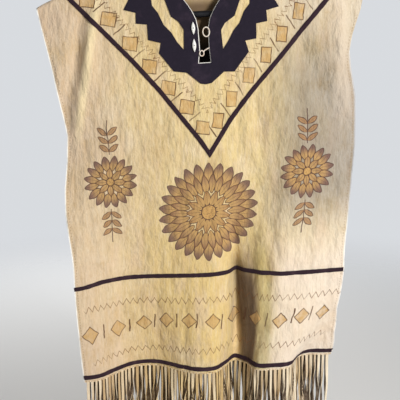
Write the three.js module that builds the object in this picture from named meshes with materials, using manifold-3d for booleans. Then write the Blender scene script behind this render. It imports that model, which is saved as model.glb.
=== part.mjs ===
// A fringed buckskin poncho hanging on a plain tubular hanger. Millimetres, +Z up, the front faces -Y.
// The origin is the inner top of the hanger's hook.
//
// Every panel and every strip is laid out flat first, in the maker's pattern: s runs across from the centre line
// (viewer's right is positive) and t runs down from the level of the hanger's top. hang() carries the pattern to
// the hung shape, with the roll over the shoulders, the folds, and the tilt of the whole poncho.
import * as THREE from "three";
import { mergeVertices } from "three/addons/utils/BufferGeometryUtils.js";
import Module from "manifold-3d";

const wasm = await Module();
wasm.setup();

// ---------- driving sizes ----------
const SEAM_GAP = 0.3; // between pieces that are sewn together
const HIDE = 2.0; // thickness of the buckskin
const TRIM = 1.5; // thickness of the dark suede strips and yoke
const TILT = THREE.MathUtils.degToRad(3.3); // the poncho sits off centre, so the hanger tips
const PATTERN_X = -20; // the pattern's centre line, left of the hanger's own centre
const TOP_Z = -76; // the pattern's t = 0, in the hanger's tipped frame
const SHOULDER_SLOPE = 0.23;
const SHOULDER_ROLL = 9; // outer radius of the cloth where it bends over the hanger
const PLUMB_FROM = 400; // below this t the centre line hangs plumb
const HEM_T = 874;
const FLANGE = 7; // raw edges outside the side stitching
const HOLLOW = 17; // half the depth between the outsides of front and back, at mid width
const HOLLOW_RISE = 105; // how far in from the side the hollow reaches that depth
const PUSH_FRONT = { from: 250, to: 600 }; // below this the folds are measured on the front

// Cut edge of the panels: half widths left and right at each level.
const OUTLINE = [
  { t: 92, left: -331, right: 324 },
  { t: 136, left: -324, right: 314 },
  { t: 184, left: -316, right: 296 },
  { t: 215, left: -311, right: 289 },
  { t: 245, left: -307, right: 291 },
  { t: 300, left: -300, right: 300 },
  { t: 348, left: -294, right: 301 },
  { t: 397, left: -299, right: 300 },
  { t: 460, left: -306, right: 297 },
  { t: 510, left: -308, right: 297 },
  { t: 600, left: -306, right: 300 },
  { t: 661, left: -307, right: 303 },
  { t: 760, left: -313, right: 312 },
  { t: 820, left: -318, right: 330 },
  { t: 874, left: -323, right: 356 },
];
const ARMHOLE_BOTTOM = { left: 348, right: 376 };
// The shoulder sags below the straight slope beyond the hanger's ends.
const SAG = { leftFrom: 285, leftDrop: 10, rightFrom: 225, rightDrop: 18, span: 100 };

// Front neck opening and slit, down to the slit's end.
const NECK = [
  { t: 14, left: -82, right: 82 },
  { t: 60, left: -60, right: 60 },
  { t: 93, left: -36, right: 36 },
  { t: 104, left: -28, right: 28 },
  { t: 118, left: -20, right: 19 },
  { t: 132, left: -14, right: 12 },
  { t: 150, left: -11, right: 8 },
  { t: 190, left: -10, right: 8 },
  { t: 216, left: -14, right: 10 },
];
const SLIT_END = 216;
const BACK_NECK_DROP = 22;

// Folds, as depth towards the front: at the chest, the waist strip and the hem.
const FOLD_LEVELS = [400, 661, 874];
const FOLDS = [
  { s: -315, depths: [0, 34, 30] },
  { s: -160, depths: [0, -18, -42] },
  { s: -6, depths: [3, -2, 21] },
  { s: 91, depths: [-5, -28, -36] },
  { s: 172, depths: [0, 10, 18] },
  { s: 208, depths: [0, 8, 18] },
  { s: 315, depths: [0, 2, -52] },
  { s: 350, depths: [0, 6, -48] },
];
const FOLD_ROUND = 0.3; // share of each slope, at both ends, that is rounded off

// Soft creases in the front: a ridge or a trough along a line.
const CREASES = [
  { from: [-245, 128], to: [-262, 300], reach: 20, height: -5 },
  { from: [-225, 130], to: [-240, 290], reach: 16, height: 4 },
  { from: [262, 130], to: [276, 260], reach: 16, height: 5 },
  { from: [62, 250], to: [76, 420], reach: 20, height: 3 },
  { from: [90, 250], to: [106, 430], reach: 18, height: -3 },
  { from: [-180, 420], to: [-165, 620], reach: 24, height: 4 },
  { from: [170, 420], to: [185, 600], reach: 26, height: 4 },
];
const BACK_CREASES = [
  { from: [-235, 120], to: [-215, 420], reach: 24, height: 5 },
  { from: [230, 120], to: [205, 430], reach: 26, height: -5 },
  { from: [-70, 240], to: [-50, 560], reach: 30, height: 4 },
  { from: [80, 260], to: [95, 600], reach: 30, height: -4 },
];

// ---------- colours ----------
const leather = new THREE.MeshStandardMaterial({ color: 0xe2c79b, roughness: 0.92, metalness: 0 });
const darkSuede = new THREE.MeshStandardMaterial({ color: 0x2a2430, roughness: 0.95, metalness: 0 });
const stripSuede = new THREE.MeshStandardMaterial({ color: 0x3f2c33, roughness: 0.95, metalness: 0 });
const bone = new THREE.MeshStandardMaterial({ color: 0xf4f2ea, roughness: 0.45, metalness: 0 });
const rawhide = new THREE.MeshStandardMaterial({ color: 0xecdcc4, roughness: 0.7, metalness: 0 });
const blackPlastic = new THREE.MeshStandardMaterial({ color: 0x0a0a0d, roughness: 0.4, metalness: 0 });

const poncho = new THREE.Group();
function addPiece(name, geometry, material) {
  const mesh = new THREE.Mesh(geometry, material);
  mesh.name = name;
  poncho.add(mesh);
}

// ---------- the hung shape ----------
const clamp01 = (x) => Math.min(1, Math.max(0, x));
const smooth = (x) => clamp01(x) ** 2 * (3 - 2 * clamp01(x));
const mix = (a, b, f) => a + (b - a) * f;

/** Value of a table's column at t, along straight lines between its rows. */
function tableAt(rows, column, t) {
  const last = rows.length - 1;
  if (t <= rows[0].t) return rows[0][column];
  if (t >= rows[last].t) return rows[last][column];
  const i = rows.findIndex((row) => row.t >= t);
  return mix(rows[i - 1][column], rows[i][column], (t - rows[i - 1].t) / (rows[i].t - rows[i - 1].t));
}

/** Top of the shoulder seam at s: two straight slopes from the hanger's centre, sagging beyond its ends. */
function shoulderT(s) {
  const x = s + PATTERN_X;
  const sag =
    x < 0
      ? SAG.leftDrop * clamp01((-x - SAG.leftFrom) / SAG.span) ** 2 * 2
      : SAG.rightDrop * clamp01((x - SAG.rightFrom) / SAG.span) ** 2;
  return SHOULDER_SLOPE * Math.abs(x) + sag;
}

/** Goes from 0 to 1 with a straight middle and rounded ends. */
function foldSlope(f) {
  const steep = 1 / (1 - FOLD_ROUND);
  if (f < FOLD_ROUND) return (steep * f * f) / (2 * FOLD_ROUND);
  if (f > 1 - FOLD_ROUND) return 1 - (steep * (1 - f) ** 2) / (2 * FOLD_ROUND);
  return steep * (f - FOLD_ROUND / 2);
}

/** Depth of one fold at level t. */
function foldDepth(fold, t) {
  const [chest, waist, hem] = FOLD_LEVELS;
  const [atChest, atWaist, atHem] = fold.depths;
  if (t < chest) return atChest * smooth((t - 200) / (chest - 200));
  if (t < waist) return mix(atChest, atWaist, smooth((t - chest) / (waist - chest)));
  return mix(atWaist, atHem, clamp01((t - waist) / (hem - waist)));
}

/** All folds together at (s, t), towards the front. */
function foldsAt(s, t) {
  const last = FOLDS.length - 1;
  if (s <= FOLDS[0].s) return foldDepth(FOLDS[0], t);
  if (s >= FOLDS[last].s) return foldDepth(FOLDS[last], t);
  const i = FOLDS.findIndex((fold) => fold.s >= s);
  const share = (s - FOLDS[i - 1].s) / (FOLDS[i].s - FOLDS[i - 1].s);
  return mix(foldDepth(FOLDS[i - 1], t), foldDepth(FOLDS[i], t), foldSlope(share));
}

/** Height of the creases in a table at (s, t): a bell across each line, fading towards its ends. */
function creasesAt(creases, s, t) {
  let sum = 0;
  for (const { from, to, reach, height } of creases) {
    const along = [to[0] - from[0], to[1] - from[1]];
    const length = Math.hypot(along[0], along[1]);
    const f = ((s - from[0]) * along[0] + (t - from[1]) * along[1]) / length ** 2;
    const off = ((s - from[0]) * along[1] - (t - from[1]) * along[0]) / length;
    sum += height * Math.exp(-((off / reach) ** 2)) * smooth(2 * f) * smooth(2 * (1 - f));
  }
  return sum;
}

/** Half the outside depth of the poncho at (s, t), without the roll over the shoulder. */
function halfDepth(s, t) {
  const side = s < 0 ? "left" : "right";
  const closed = smooth((t - ARMHOLE_BOTTOM[side] + 110) / 110);
  const atEdge = mix(SHOULDER_ROLL, HIDE, closed);
  const atMiddle = mix(SHOULDER_ROLL, HOLLOW, smooth((t - shoulderT(s)) / 130));
  const inward = Math.abs(tableAt(OUTLINE, side, t)) - Math.abs(s) - FLANGE;
  return { depth: mix(atEdge, atMiddle, Math.sin((Math.PI / 2) * clamp01(inward / HOLLOW_RISE))), atEdge };
}

/** The surface midway between front and back. */
function middle(s, t) {
  const { depth, atEdge } = halfDepth(s, t);
  const onFront = smooth((t - PUSH_FRONT.from) / (PUSH_FRONT.to - PUSH_FRONT.from));
  return foldsAt(s, t) - onFront * (depth - atEdge);
}

/** Distance across, in the hung shape, from the centre line to s: folds take it up. */
function across(s, t) {
  const steps = Math.max(1, Math.ceil(Math.abs(s) / 5));
  const ds = s / steps;
  let x = 0;
  for (let i = 0; i < steps; i++) {
    const rise = (middle((i + 1) * ds, t) - middle(i * ds, t)) / ds;
    x += ds * Math.sqrt(1 - Math.min(0.9, rise * rise));
  }
  return x;
}

/** Outer surface of a panel at the pattern point (s, t). face is 1 for the front, -1 for the back. */
function surface(s, t, face) {
  const below = t - shoulderT(s);
  const { depth } = halfDepth(s, t);
  const onRoll = Math.sqrt(Math.max(0, SHOULDER_ROLL ** 2 - (SHOULDER_ROLL - below) ** 2));
  const rolled = below < SHOULDER_ROLL ? onRoll : depth;
  const fade = smooth((below - 10) / 60);
  const creases = fade * creasesAt(face > 0 ? CREASES : BACK_CREASES, s, t);
  const forward = middle(s, t) + face * (rolled + SEAM_GAP / 2 + creases);
  const x = PATTERN_X + across(s, t);
  const z = TOP_Z - t;
  const plumb = Math.sin(TILT) * Math.max(0, t - PLUMB_FROM);
  return new THREE.Vector3(
    x * Math.cos(TILT) - z * Math.sin(TILT) - plumb,
    -forward,
    x * Math.sin(TILT) + z * Math.cos(TILT),
  );
}

/** The pattern point (s, t) in the hung shape, moved out from the panel's outer surface along its normal. */
function hang(s, t, face, out) {
  const d = 1.5;
  const below = t - shoulderT(s);
  let acrossWay = surface(s + d, t, face).sub(surface(s - d, t, face));
  let downWay = surface(s, t + d, face).sub(surface(s, t - d, face));
  if (below < SHOULDER_ROLL + d) {
    const angle = Math.acos(clamp01((SHOULDER_ROLL - below) / SHOULDER_ROLL));
    const atShoulder = (where) => surface(where, shoulderT(where) + below, face);
    acrossWay = atShoulder(s + d).sub(atShoulder(s - d));
    downWay = new THREE.Vector3(0, -face * Math.cos(angle), -Math.sin(angle));
  }
  const normal = downWay.cross(acrossWay).normalize().multiplyScalar(face);
  return surface(s, t, face).addScaledVector(normal, out);
}

// ---------- pattern grids and walls ----------
/** Numbers after `from` up to `to`, evenly spaced. */
const steps = (from, to, count) => Array.from({ length: count }, (_, i) => mix(from, to, (i + 1) / count));

/**
 * A panel's pattern points, row by row. The first rows follow the roll over the shoulder, the next ones turn
 * level, and from LEVEL_T down each row is level. Columns run from the left edge to the neck's left edge, then
 * from its right edge to the right edge, so the slit is the one column of cells between them.
 */
function patternGrid({ neck, columnsPerSide, upperRows, lowerRows }) {
  const flangeShare = FLANGE / Math.abs(OUTLINE[0].left - neck[0].left);
  const shares = [0, flangeShare, ...steps(flangeShare, 1, columnsPerSide - 2)];
  const halfRow = (side, levelOf) =>
    shares.map((share) => {
      const edgeS = tableAt(OUTLINE, side, levelOf(OUTLINE[0].t));
      const neckS = tableAt(neck, side, levelOf(shoulderT(neck[0][side])));
      const s = mix(edgeS, neckS, share);
      const top = shoulderT(mix(OUTLINE[0][side], neck[0][side], share));
      return { s, t: Math.max(levelOf(top), shoulderT(s) + Math.min(SHOULDER_ROLL, levelOf(0))) };
    });
  const wholeRow = (levelOf) => [...halfRow("left", levelOf), ...halfRow("right", levelOf).reverse()];
  return [
    ...ROLL_ROWS.map((roll) => wholeRow((top) => top + roll)),
    ...upperRows.map((share) => wholeRow((top) => mix(top + SHOULDER_ROLL, LEVEL_T, share))),
    ...lowerRows.map((t) => wholeRow(() => t)),
  ];
}

/** Closed wall between two grids of points. Cells that keep() refuses are left out. */
function wallGeometry(outer, inner, keep = () => true) {
  const [lastRow, lastColumn] = [outer.length - 1, outer[0].length - 1];
  const isKept = (i, j) => i >= 0 && j >= 0 && i < lastRow && j < lastColumn && keep(i, j);
  const positions = [];
  const triangle = (...points) => points.forEach((p) => positions.push(p.x, p.y, p.z));
  const quad = (a, b, c, d) => {
    triangle(a, b, c);
    triangle(a, c, d);
  };
  for (let i = 0; i < lastRow; i++) {
    for (let j = 0; j < lastColumn; j++) {
      if (!isKept(i, j)) continue;
      const [a, b, c, d] = [outer[i][j], outer[i + 1][j], outer[i + 1][j + 1], outer[i][j + 1]];
      const [e, f, g, h] = [inner[i][j], inner[i + 1][j], inner[i + 1][j + 1], inner[i][j + 1]];
      quad(a, b, c, d);
      triangle(g, f, e);
      triangle(g, e, h);
      if (!isKept(i - 1, j)) quad(d, h, e, a);
      if (!isKept(i + 1, j)) quad(b, f, g, c);
      if (!isKept(i, j - 1)) quad(a, e, f, b);
      if (!isKept(i, j + 1)) quad(c, g, h, d);
    }
  }
  const geometry = new THREE.BufferGeometry();
  geometry.setAttribute("position", new THREE.Float32BufferAttribute(positions, 3));
  return mergeVertices(geometry, 1e-4);
}

/** A wall seen from behind has its faces the other way round. */
function turnedOver(geometry) {
  const index = geometry.index.array;
  for (let i = 0; i < index.length; i += 3) [index[i], index[i + 1]] = [index[i + 1], index[i]];
  return geometry;
}

// ---------- joins and cuts ----------
function toSolid(geometry) {
  const bare = geometry.clone();
  bare.deleteAttribute("normal");
  bare.deleteAttribute("uv");
  const merged = mergeVertices(bare, 1e-4);
  const vertProperties = new Float32Array(merged.attributes.position.array);
  const triVerts = new Uint32Array(merged.index.array);
  return new wasm.Manifold(new wasm.Mesh({ numProp: 3, vertProperties, triVerts }));
}

function toGeometry(solid) {
  const mesh = solid.getMesh();
  const geometry = new THREE.BufferGeometry();
  geometry.setAttribute("position", new THREE.Float32BufferAttribute(mesh.vertProperties, 3));
  geometry.setIndex(Array.from(mesh.triVerts));
  return geometry;
}

/** Tube along an open curve, closed at both ends. */
function tube(points, radius, segments, sides) {
  const ring = new THREE.Shape();
  ring.absarc(0, 0, radius, 0, 2 * Math.PI);
  return new THREE.ExtrudeGeometry(ring, {
    steps: segments,
    curveSegments: sides,
    extrudePath: new THREE.CatmullRomCurve3(points),
  });
}

// ---------- front and back panels ----------
const LEVEL_T = 390; // the pattern's rows are level from here down
const ROLL_ROWS = [0, 0.8, 3.2, SHOULDER_ROLL];
const SLIT_ROWS = 8; // rows between the shoulder's roll and the slit's end
const neckTop = shoulderT(NECK[0].left) + SHOULDER_ROLL;
const slitShare = (SLIT_END - neckTop) / (LEVEL_T - neckTop);

const upperShares = [...steps(0, slitShare, SLIT_ROWS), ...steps(slitShare, 1, 5)];
const lowerRows = steps(LEVEL_T, HEM_T, 12);
const frontPattern = patternGrid({ neck: NECK, columnsPerSide: 15, upperRows: upperShares, lowerRows });
const slitColumn = frontPattern[0].length / 2 - 1;
const slitRow = ROLL_ROWS.length - 1 + SLIT_ROWS;
const isCloth = (i, j) => j !== slitColumn || i >= slitRow;
const frontLayer = (out) => frontPattern.map((row) => row.map(({ s, t }) => hang(s, t, 1, out)));
addPiece("front_panel", wallGeometry(frontLayer(0), frontLayer(-HIDE), isCloth), leather);

const BACK_NECK = [
  { t: 14, left: -82, right: 82 },
  { t: 14 + BACK_NECK_DROP, left: -40, right: 40 },
  { t: 16 + BACK_NECK_DROP, left: -6, right: 6 },
];
const backNeckRow = ROLL_ROWS.length;
const backNeckTop = shoulderT(BACK_NECK[0].left) + SHOULDER_ROLL;
const backNeckShare = (BACK_NECK[2].t + 8 - backNeckTop) / (LEVEL_T - backNeckTop);
const backPattern = patternGrid({
  neck: BACK_NECK,
  columnsPerSide: 12,
  upperRows: [backNeckShare, ...upperShares.filter((share) => share > backNeckShare + 0.02)],
  lowerRows,
});
const backSlitColumn = backPattern[0].length / 2 - 1;
const isBackCloth = (i, j) => j !== backSlitColumn || i >= backNeckRow;
const backLayer = (out) => backPattern.map((row) => row.map(({ s, t }) => hang(s, t, -1, out)));
addPiece("back_panel", turnedOver(wallGeometry(backLayer(0), backLayer(-HIDE), isBackCloth)), leather);

// ---------- applique: pieces cut flat and laid on the front ----------
/** Where the pattern point (s, t) lies on a layer of the front's own triangles. */
function onFront(layer, s, t) {
  for (let i = 0; i < frontPattern.length - 1; i++) {
    for (let j = 0; j < frontPattern[0].length - 1; j++) {
      const cell = [[i, j], [i + 1, j], [i + 1, j + 1], [i, j + 1]];
      for (const corners of [[cell[0], cell[1], cell[2]], [cell[0], cell[2], cell[3]]]) {
        const [a, b, c] = corners.map(([row, column]) => frontPattern[row][column]);
        const area = (b.s - a.s) * (c.t - a.t) - (c.s - a.s) * (b.t - a.t);
        if (Math.abs(area) < 1e-6) continue;
        const wb = ((s - a.s) * (c.t - a.t) - (c.s - a.s) * (t - a.t)) / area;
        const wc = ((b.s - a.s) * (t - a.t) - (s - a.s) * (b.t - a.t)) / area;
        if (wb < -1e-4 || wc < -1e-4 || wb + wc > 1.0001) continue;
        const [pa, pb, pc] = corners.map(([row, column]) => layer[row][column]);
        return pa.clone().multiplyScalar(1 - wb - wc).addScaledVector(pb, wb).addScaledVector(pc, wc);
      }
    }
  }
  throw new Error(`pattern point ${s}, ${t} is off the front`);
}

const lowLayer = frontLayer(SEAM_GAP);
const highLayer = frontLayer(SEAM_GAP + TRIM);
/** A layer spread out on the pattern's (s, t), with its hung depth. */
const spread = (layer) =>
  frontPattern.map((row, i) => row.map(({ s, t }, j) => new THREE.Vector3(s, layer[i][j].y, -t)));
const sheet = toSolid(wallGeometry(spread(highLayer), spread(lowLayer), isCloth));

/** A closed outline of [s, t] points as a solid that passes through the spread sheet. */
function cutter(outline) {
  const reach = 150;
  const shape = new THREE.Shape(outline.map(([s, t]) => new THREE.Vector2(s, -t)));
  const geometry = new THREE.ExtrudeGeometry(shape, { depth: 2 * reach, bevelEnabled: false, steps: 1 });
  return toSolid(geometry.translate(0, 0, -reach).rotateX(Math.PI / 2));
}

/** Cuts a piece from the spread sheet and carries it to the front, where it lies just clear of the panel. */
function sewOn(name, cut, material) {
  const geometry = toGeometry(sheet.intersect(cut));
  const place = geometry.attributes.position;
  for (let k = 0; k < place.count; k++) {
    const [s, t] = [place.getX(k), -place.getZ(k)];
    const low = onFront(lowLayer, s, t);
    const high = onFront(highLayer, s, t);
    const p = low.clone().lerp(high, (place.getY(k) - low.y) / (high.y - low.y));
    place.setXYZ(k, p.x, p.y, p.z);
  }
  addPiece(name, geometry, material);
}

/** Outline of a strip of even width along a path of [s, t] points. */
function stripOutline(path, width) {
  const sideAt = (k, side) => {
    const before = path[Math.max(k - 1, 0)];
    const after = path[Math.min(k + 1, path.length - 1)];
    const length = Math.hypot(after[0] - before[0], after[1] - before[1]);
    const step = (side * width) / 2 / length;
    return [path[k][0] - (after[1] - before[1]) * step, path[k][1] + (after[0] - before[0]) * step];
  };
  const oneSide = (side) => path.map((_, k) => sideAt(k, side));
  return [...oneSide(-1), ...oneSide(1).reverse()];
}

// The yoke: a stepped edge round the slit, with two slashes that show the buckskin.
const YOKE_LEFT = [
  [-152, 20], [-150, 60], [-146, 87], [-157, 105], [-133, 112], [-134, 133], [-112, 136],
  [-112, 166], [-87, 173], [-92, 193], [-65, 230], [-39, 234], [-13, 257], [-2, 259],
];
const YOKE_RIGHT = [
  [10, 257], [36, 236], [57, 237], [87, 200], [81, 178], [103, 175], [104, 146], [126, 143],
  [125, 122], [150, 116], [143, 103], [147, 60], [150, 20],
];
const SLASH_LEFT = [
  [-92, 64], [-101, 89], [-100, 100], [-89, 115], [-79, 139], [-65, 154], [-54, 174], [-42, 189],
  [-40, 150], [-50, 134], [-64, 123], [-74, 91],
];
const SLASH_RIGHT = [
  [84, 66], [74, 99], [62, 129], [42, 142], [34, 155], [36, 192], [48, 175], [59, 156], [71, 143],
  [81, 121], [93, 107], [94, 92],
];
const yokeCut = cutter([...YOKE_LEFT, ...YOKE_RIGHT]).subtract(cutter(SLASH_LEFT)).subtract(cutter(SLASH_RIGHT));
sewOn("yoke_applique", yokeCut, darkSuede);

// Two strips run from the shoulders to a point at mid chest, and meet there in a mitre.
const STRIP_WIDTH = 9;
const V_POINT = [-2, 400];
const V_LEFT = [[-290, 47], [-255, 86], [-191, 155], [-146, 205], [-96, 266], [-20, 371]];
const V_RIGHT = [[44, 332], [88, 279], [147, 216], [200, 157], [241, 113], [300, 50]];
const vCut = cutter(stripOutline([...V_LEFT, V_POINT, ...V_RIGHT], STRIP_WIDTH));
const halfPlane = (from, to) => cutter([[from, 0], [to, 0], [to, 500], [from, 500]]);
sewOn("v_strip_left", vCut.intersect(halfPlane(-400, V_POINT[0] - SEAM_GAP / 2)), stripSuede);
sewOn("v_strip_right", vCut.intersect(halfPlane(V_POINT[0] + SEAM_GAP / 2, 400)), stripSuede);

// The waist strip and the hem strip are sewn on by hand, so they wander a little.
const WAIST_STRIP = [[-330, 668], [-290, 666], [-240, 661], [60, 661], [170, 664], [330, 664]];
const HEM_STRIP = [[-340, 866], [0, 866], [370, 866]];
sewOn("waist_strip", cutter(stripOutline(WAIST_STRIP, STRIP_WIDTH)), stripSuede);
sewOn("hem_strip", cutter(stripOutline(HEM_STRIP, STRIP_WIDTH)), stripSuede);

// ---------- fringe: strands fused to a narrow band under each hem ----------
const FRINGE = {
  count: 72, // strands on each panel
  length: 150,
  width: 5.6,
  thickness: 1.4,
  taper: 0.25, // share of the width lost at the tip
  band: 8, // height of the band that carries the roots
  margin: 6, // band beyond the outermost root
  inset: 13, // outermost root in from the side edge
  lean: 4, // most that a tip stands out
  unevenness: 0.1, // share of the length by which strands differ
  twist: Math.PI / 2, // most turn between one strand's ends and another's
};

/** Small steady generator of numbers from 0 to 1. */
function seeded(seed) {
  let state = seed;
  return () => {
    state = (Math.imul(state, 1664525) + 1013904223) >>> 0;
    return state / 2 ** 32;
  };
}

/** One strand: a flat thong that twists as it hangs from its root. */
function strand(root, tangent, { length, turn, lean }) {
  const rings = [0, 1].map((share) => {
    const angle = turn * share;
    const taper = 1 - FRINGE.taper * share;
    const wide = tangent.clone().applyAxisAngle(new THREE.Vector3(0, 0, 1), angle);
    const thick = wide.clone().cross(new THREE.Vector3(0, 0, 1));
    const centre = root.clone().addScaledVector(lean, share).add(new THREE.Vector3(0, 0, -length * share));
    const corner = (a, b) =>
      centre
        .clone()
        .addScaledVector(wide, (a * FRINGE.width * taper) / 2)
        .addScaledVector(thick, (b * FRINGE.thickness) / 2);
    return [corner(1, -1), corner(-1, -1), corner(-1, 1), corner(1, 1)];
  });
  const positions = [];
  const triangle = (...points) => points.forEach((p) => positions.push(p.x, p.y, p.z));
  for (let k = 0; k < rings.length - 1; k++) {
    for (let m = 0; m < 4; m++) {
      const n = (m + 1) % 4;
      triangle(rings[k][m], rings[k + 1][m], rings[k + 1][n]);
      triangle(rings[k][m], rings[k + 1][n], rings[k][n]);
    }
  }
  const [top, bottom] = [rings[0], rings[rings.length - 1]];
  triangle(top[0], top[1], top[2]);
  triangle(top[0], top[2], top[3]);
  triangle(bottom[2], bottom[1], bottom[0]);
  triangle(bottom[3], bottom[2], bottom[0]);
  const geometry = new THREE.BufferGeometry();
  geometry.setAttribute("position", new THREE.Float32BufferAttribute(positions, 3));
  return toSolid(geometry);
}

function addFringe(name, face, seed) {
  const random = seeded(seed);
  const [left, right] = [OUTLINE.at(-1).left + FRINGE.inset, OUTLINE.at(-1).right - FRINGE.inset];
  const bandTop = HEM_T + 2 * SEAM_GAP;
  const bandRows = [bandTop, bandTop + FRINGE.band];
  const [bandLeft, bandRight] = [left - FRINGE.margin, right + FRINGE.margin];
  const columns = [bandLeft, ...steps(bandLeft, bandRight, 40)];
  const bandLayer = (out) => bandRows.map((t) => columns.map((s) => hang(s, t, face, out)));
  const band = wallGeometry(bandLayer(0), bandLayer(-HIDE));
  let fringe = toSolid(face > 0 ? band : turnedOver(band));
  for (let k = 0; k < FRINGE.count; k++) {
    const s = mix(left, right, (k + 0.5) / FRINGE.count);
    const rootT = bandTop + FRINGE.band / 2;
    const root = hang(s, rootT, face, -HIDE / 2);
    const tangent = hang(s + 2, rootT, face, 0).sub(hang(s - 2, rootT, face, 0)).setZ(0).normalize();
    const out = new THREE.Vector3(tangent.y, -tangent.x, 0).multiplyScalar(face);
    const lean = out.multiplyScalar(1 + FRINGE.lean * random()).addScaledVector(tangent, 2 * random() - 1);
    const length = FRINGE.length * (1 - FRINGE.unevenness * random());
    const turn = (random() - 0.5) * FRINGE.twist;
    fringe = fringe.add(strand(root, tangent, { length, turn, lean }));
  }
  addPiece(name, toGeometry(fringe), leather);
}
addFringe("front_fringe", 1, 7);
addFringe("back_fringe", -1, 19);

// ---------- closure: bone toggles and rawhide loops ----------
const ON_YOKE = SEAM_GAP + TRIM + SEAM_GAP;
const TOGGLE = { width: 8, thickness: 4.6 };

/** Frame of directions on the front at (s, t): across, down and out. */
function directionsAt(s, t) {
  const acrossWay = hang(s + 3, t, 1, 0).sub(hang(s - 3, t, 1, 0)).normalize();
  const out = hang(s, t, 1, 1).sub(hang(s, t, 1, 0)).normalize();
  return { acrossWay, out, downWay: out.clone().cross(acrossWay).normalize() };
}

/** A bead pointed at both ends, flattened, lying on the yoke with its long axis down the slit. */
function addToggle(name, s, t, length) {
  const profile = [];
  for (let k = 0; k <= 8; k++) {
    const share = k / 4 - 1;
    const radius = (TOGGLE.width / 2) * (1 - Math.abs(share) ** 1.7);
    profile.push(new THREE.Vector2(k % 8 === 0 ? 0 : radius, (share * length) / 2));
  }
  const geometry = new THREE.LatheGeometry(profile, 10).scale(1, 1, TOGGLE.thickness / TOGGLE.width);
  const { acrossWay, out } = directionsAt(s, t);
  const upWay = out.clone().cross(acrossWay).negate();
  const basis = new THREE.Matrix4().makeBasis(acrossWay, upWay, acrossWay.clone().cross(upWay));
  const place = hang(s, t, 1, ON_YOKE + TOGGLE.thickness / 2 + 0.2);
  geometry.applyMatrix4(basis.setPosition(place));
  addPiece(name, toGeometry(toSolid(geometry)), bone);
}
addToggle("toggle_upper", -21, 148.5, 25);
addToggle("toggle_lower", -21, 182, 26);

const CORD_RADIUS = 1.35;
/** Closed ring of rawhide cord round (s, t), lying across the slit's right edge. */
function ringSolid(s, t, halfWide, halfTall) {
  const { acrossWay, out } = directionsAt(s, t);
  const upWay = out.clone().cross(acrossWay).negate();
  const centre = hang(s, t, 1, ON_YOKE + CORD_RADIUS + 0.2);
  const points = Array.from({ length: 16 }, (_, k) => {
    const angle = (k / 16) * 2 * Math.PI;
    return centre
      .clone()
      .addScaledVector(acrossWay, halfWide * Math.cos(angle))
      .addScaledVector(upWay, halfTall * Math.sin(angle));
  });
  return toSolid(new THREE.TubeGeometry(new THREE.CatmullRomCurve3(points, true), 16, CORD_RADIUS, 6, true));
}
addPiece("loop_upper", toGeometry(ringSolid(4, 157, 6.6, 9)), rawhide);
const stem = [[-4, 195], [2, 191], [9, 188]].map(([s, t]) => hang(s, t, 1, ON_YOKE + CORD_RADIUS + 0.2));
const lowerLoop = ringSolid(-7, 198, 4.2, 5.2).add(toSolid(tube(stem, CORD_RADIUS, 3, 2)));
addPiece("loop_lower", toGeometry(lowerLoop), rawhide);

// ---------- hanger: one black moulding, a closed tube with a hook ----------
const HANGER = { radius: 6.5, slope: SHOULDER_SLOPE, apexZ: -85.6, endX: 190, endRadius: 33 };
const HOOK = { radius: 3.5, bend: 24, stemTop: -62 };

/** A point of the hanger's own upright frame, tipped about the hook. */
const tipped = (x, z) => new THREE.Vector3(x, 0, z).applyAxisAngle(new THREE.Vector3(0, 1, 0), -TILT);

function hangerFrame() {
  const armAngle = Math.atan(HANGER.slope);
  const endZ = HANGER.apexZ - (HANGER.slope * HANGER.endX + HANGER.endRadius / Math.cos(armAngle));
  const right = [0, 60, 130].map((x) => [x, HANGER.apexZ - HANGER.slope * x]);
  for (let k = 0; k <= 6; k++) {
    const angle = mix(Math.PI / 2 - armAngle, -Math.PI / 2, k / 6);
    right.push([HANGER.endX + HANGER.endRadius * Math.cos(angle), endZ + HANGER.endRadius * Math.sin(angle)]);
  }
  right.push([HANGER.endX / 2, endZ - HANGER.endRadius]);
  const left = right.slice(1).reverse().map(([x, z]) => [-x, z]);
  const points = [...right, [0, endZ - HANGER.endRadius], ...left].map(([x, z]) => tipped(x, z));
  const path = new THREE.CatmullRomCurve3(points, true, "centripetal");
  return toSolid(new THREE.TubeGeometry(path, 48, HANGER.radius, 8, true));
}

function hangerHook() {
  const centreZ = HOOK.radius - HOOK.bend;
  const points = [tipped(0, HANGER.apexZ), tipped(0, HANGER.apexZ + 12), tipped(0, HOOK.stemTop)];
  for (let k = 0; k <= 8; k++) {
    const angle = mix(-Math.PI * 0.3, Math.PI * 1.1, k / 8);
    points.push(tipped(HOOK.bend * Math.cos(angle), centreZ + HOOK.bend * Math.sin(angle)));
  }
  return toSolid(tube(points, HOOK.radius, 26, 2));
}
addPiece("hanger", toGeometry(hangerFrame().add(hangerHook())), blackPlastic);

export default poncho;
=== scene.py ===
"""A fringed buckskin poncho on a plain black hanger, dressed over its frame. Metres, +Z up, front at -Y."""

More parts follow.
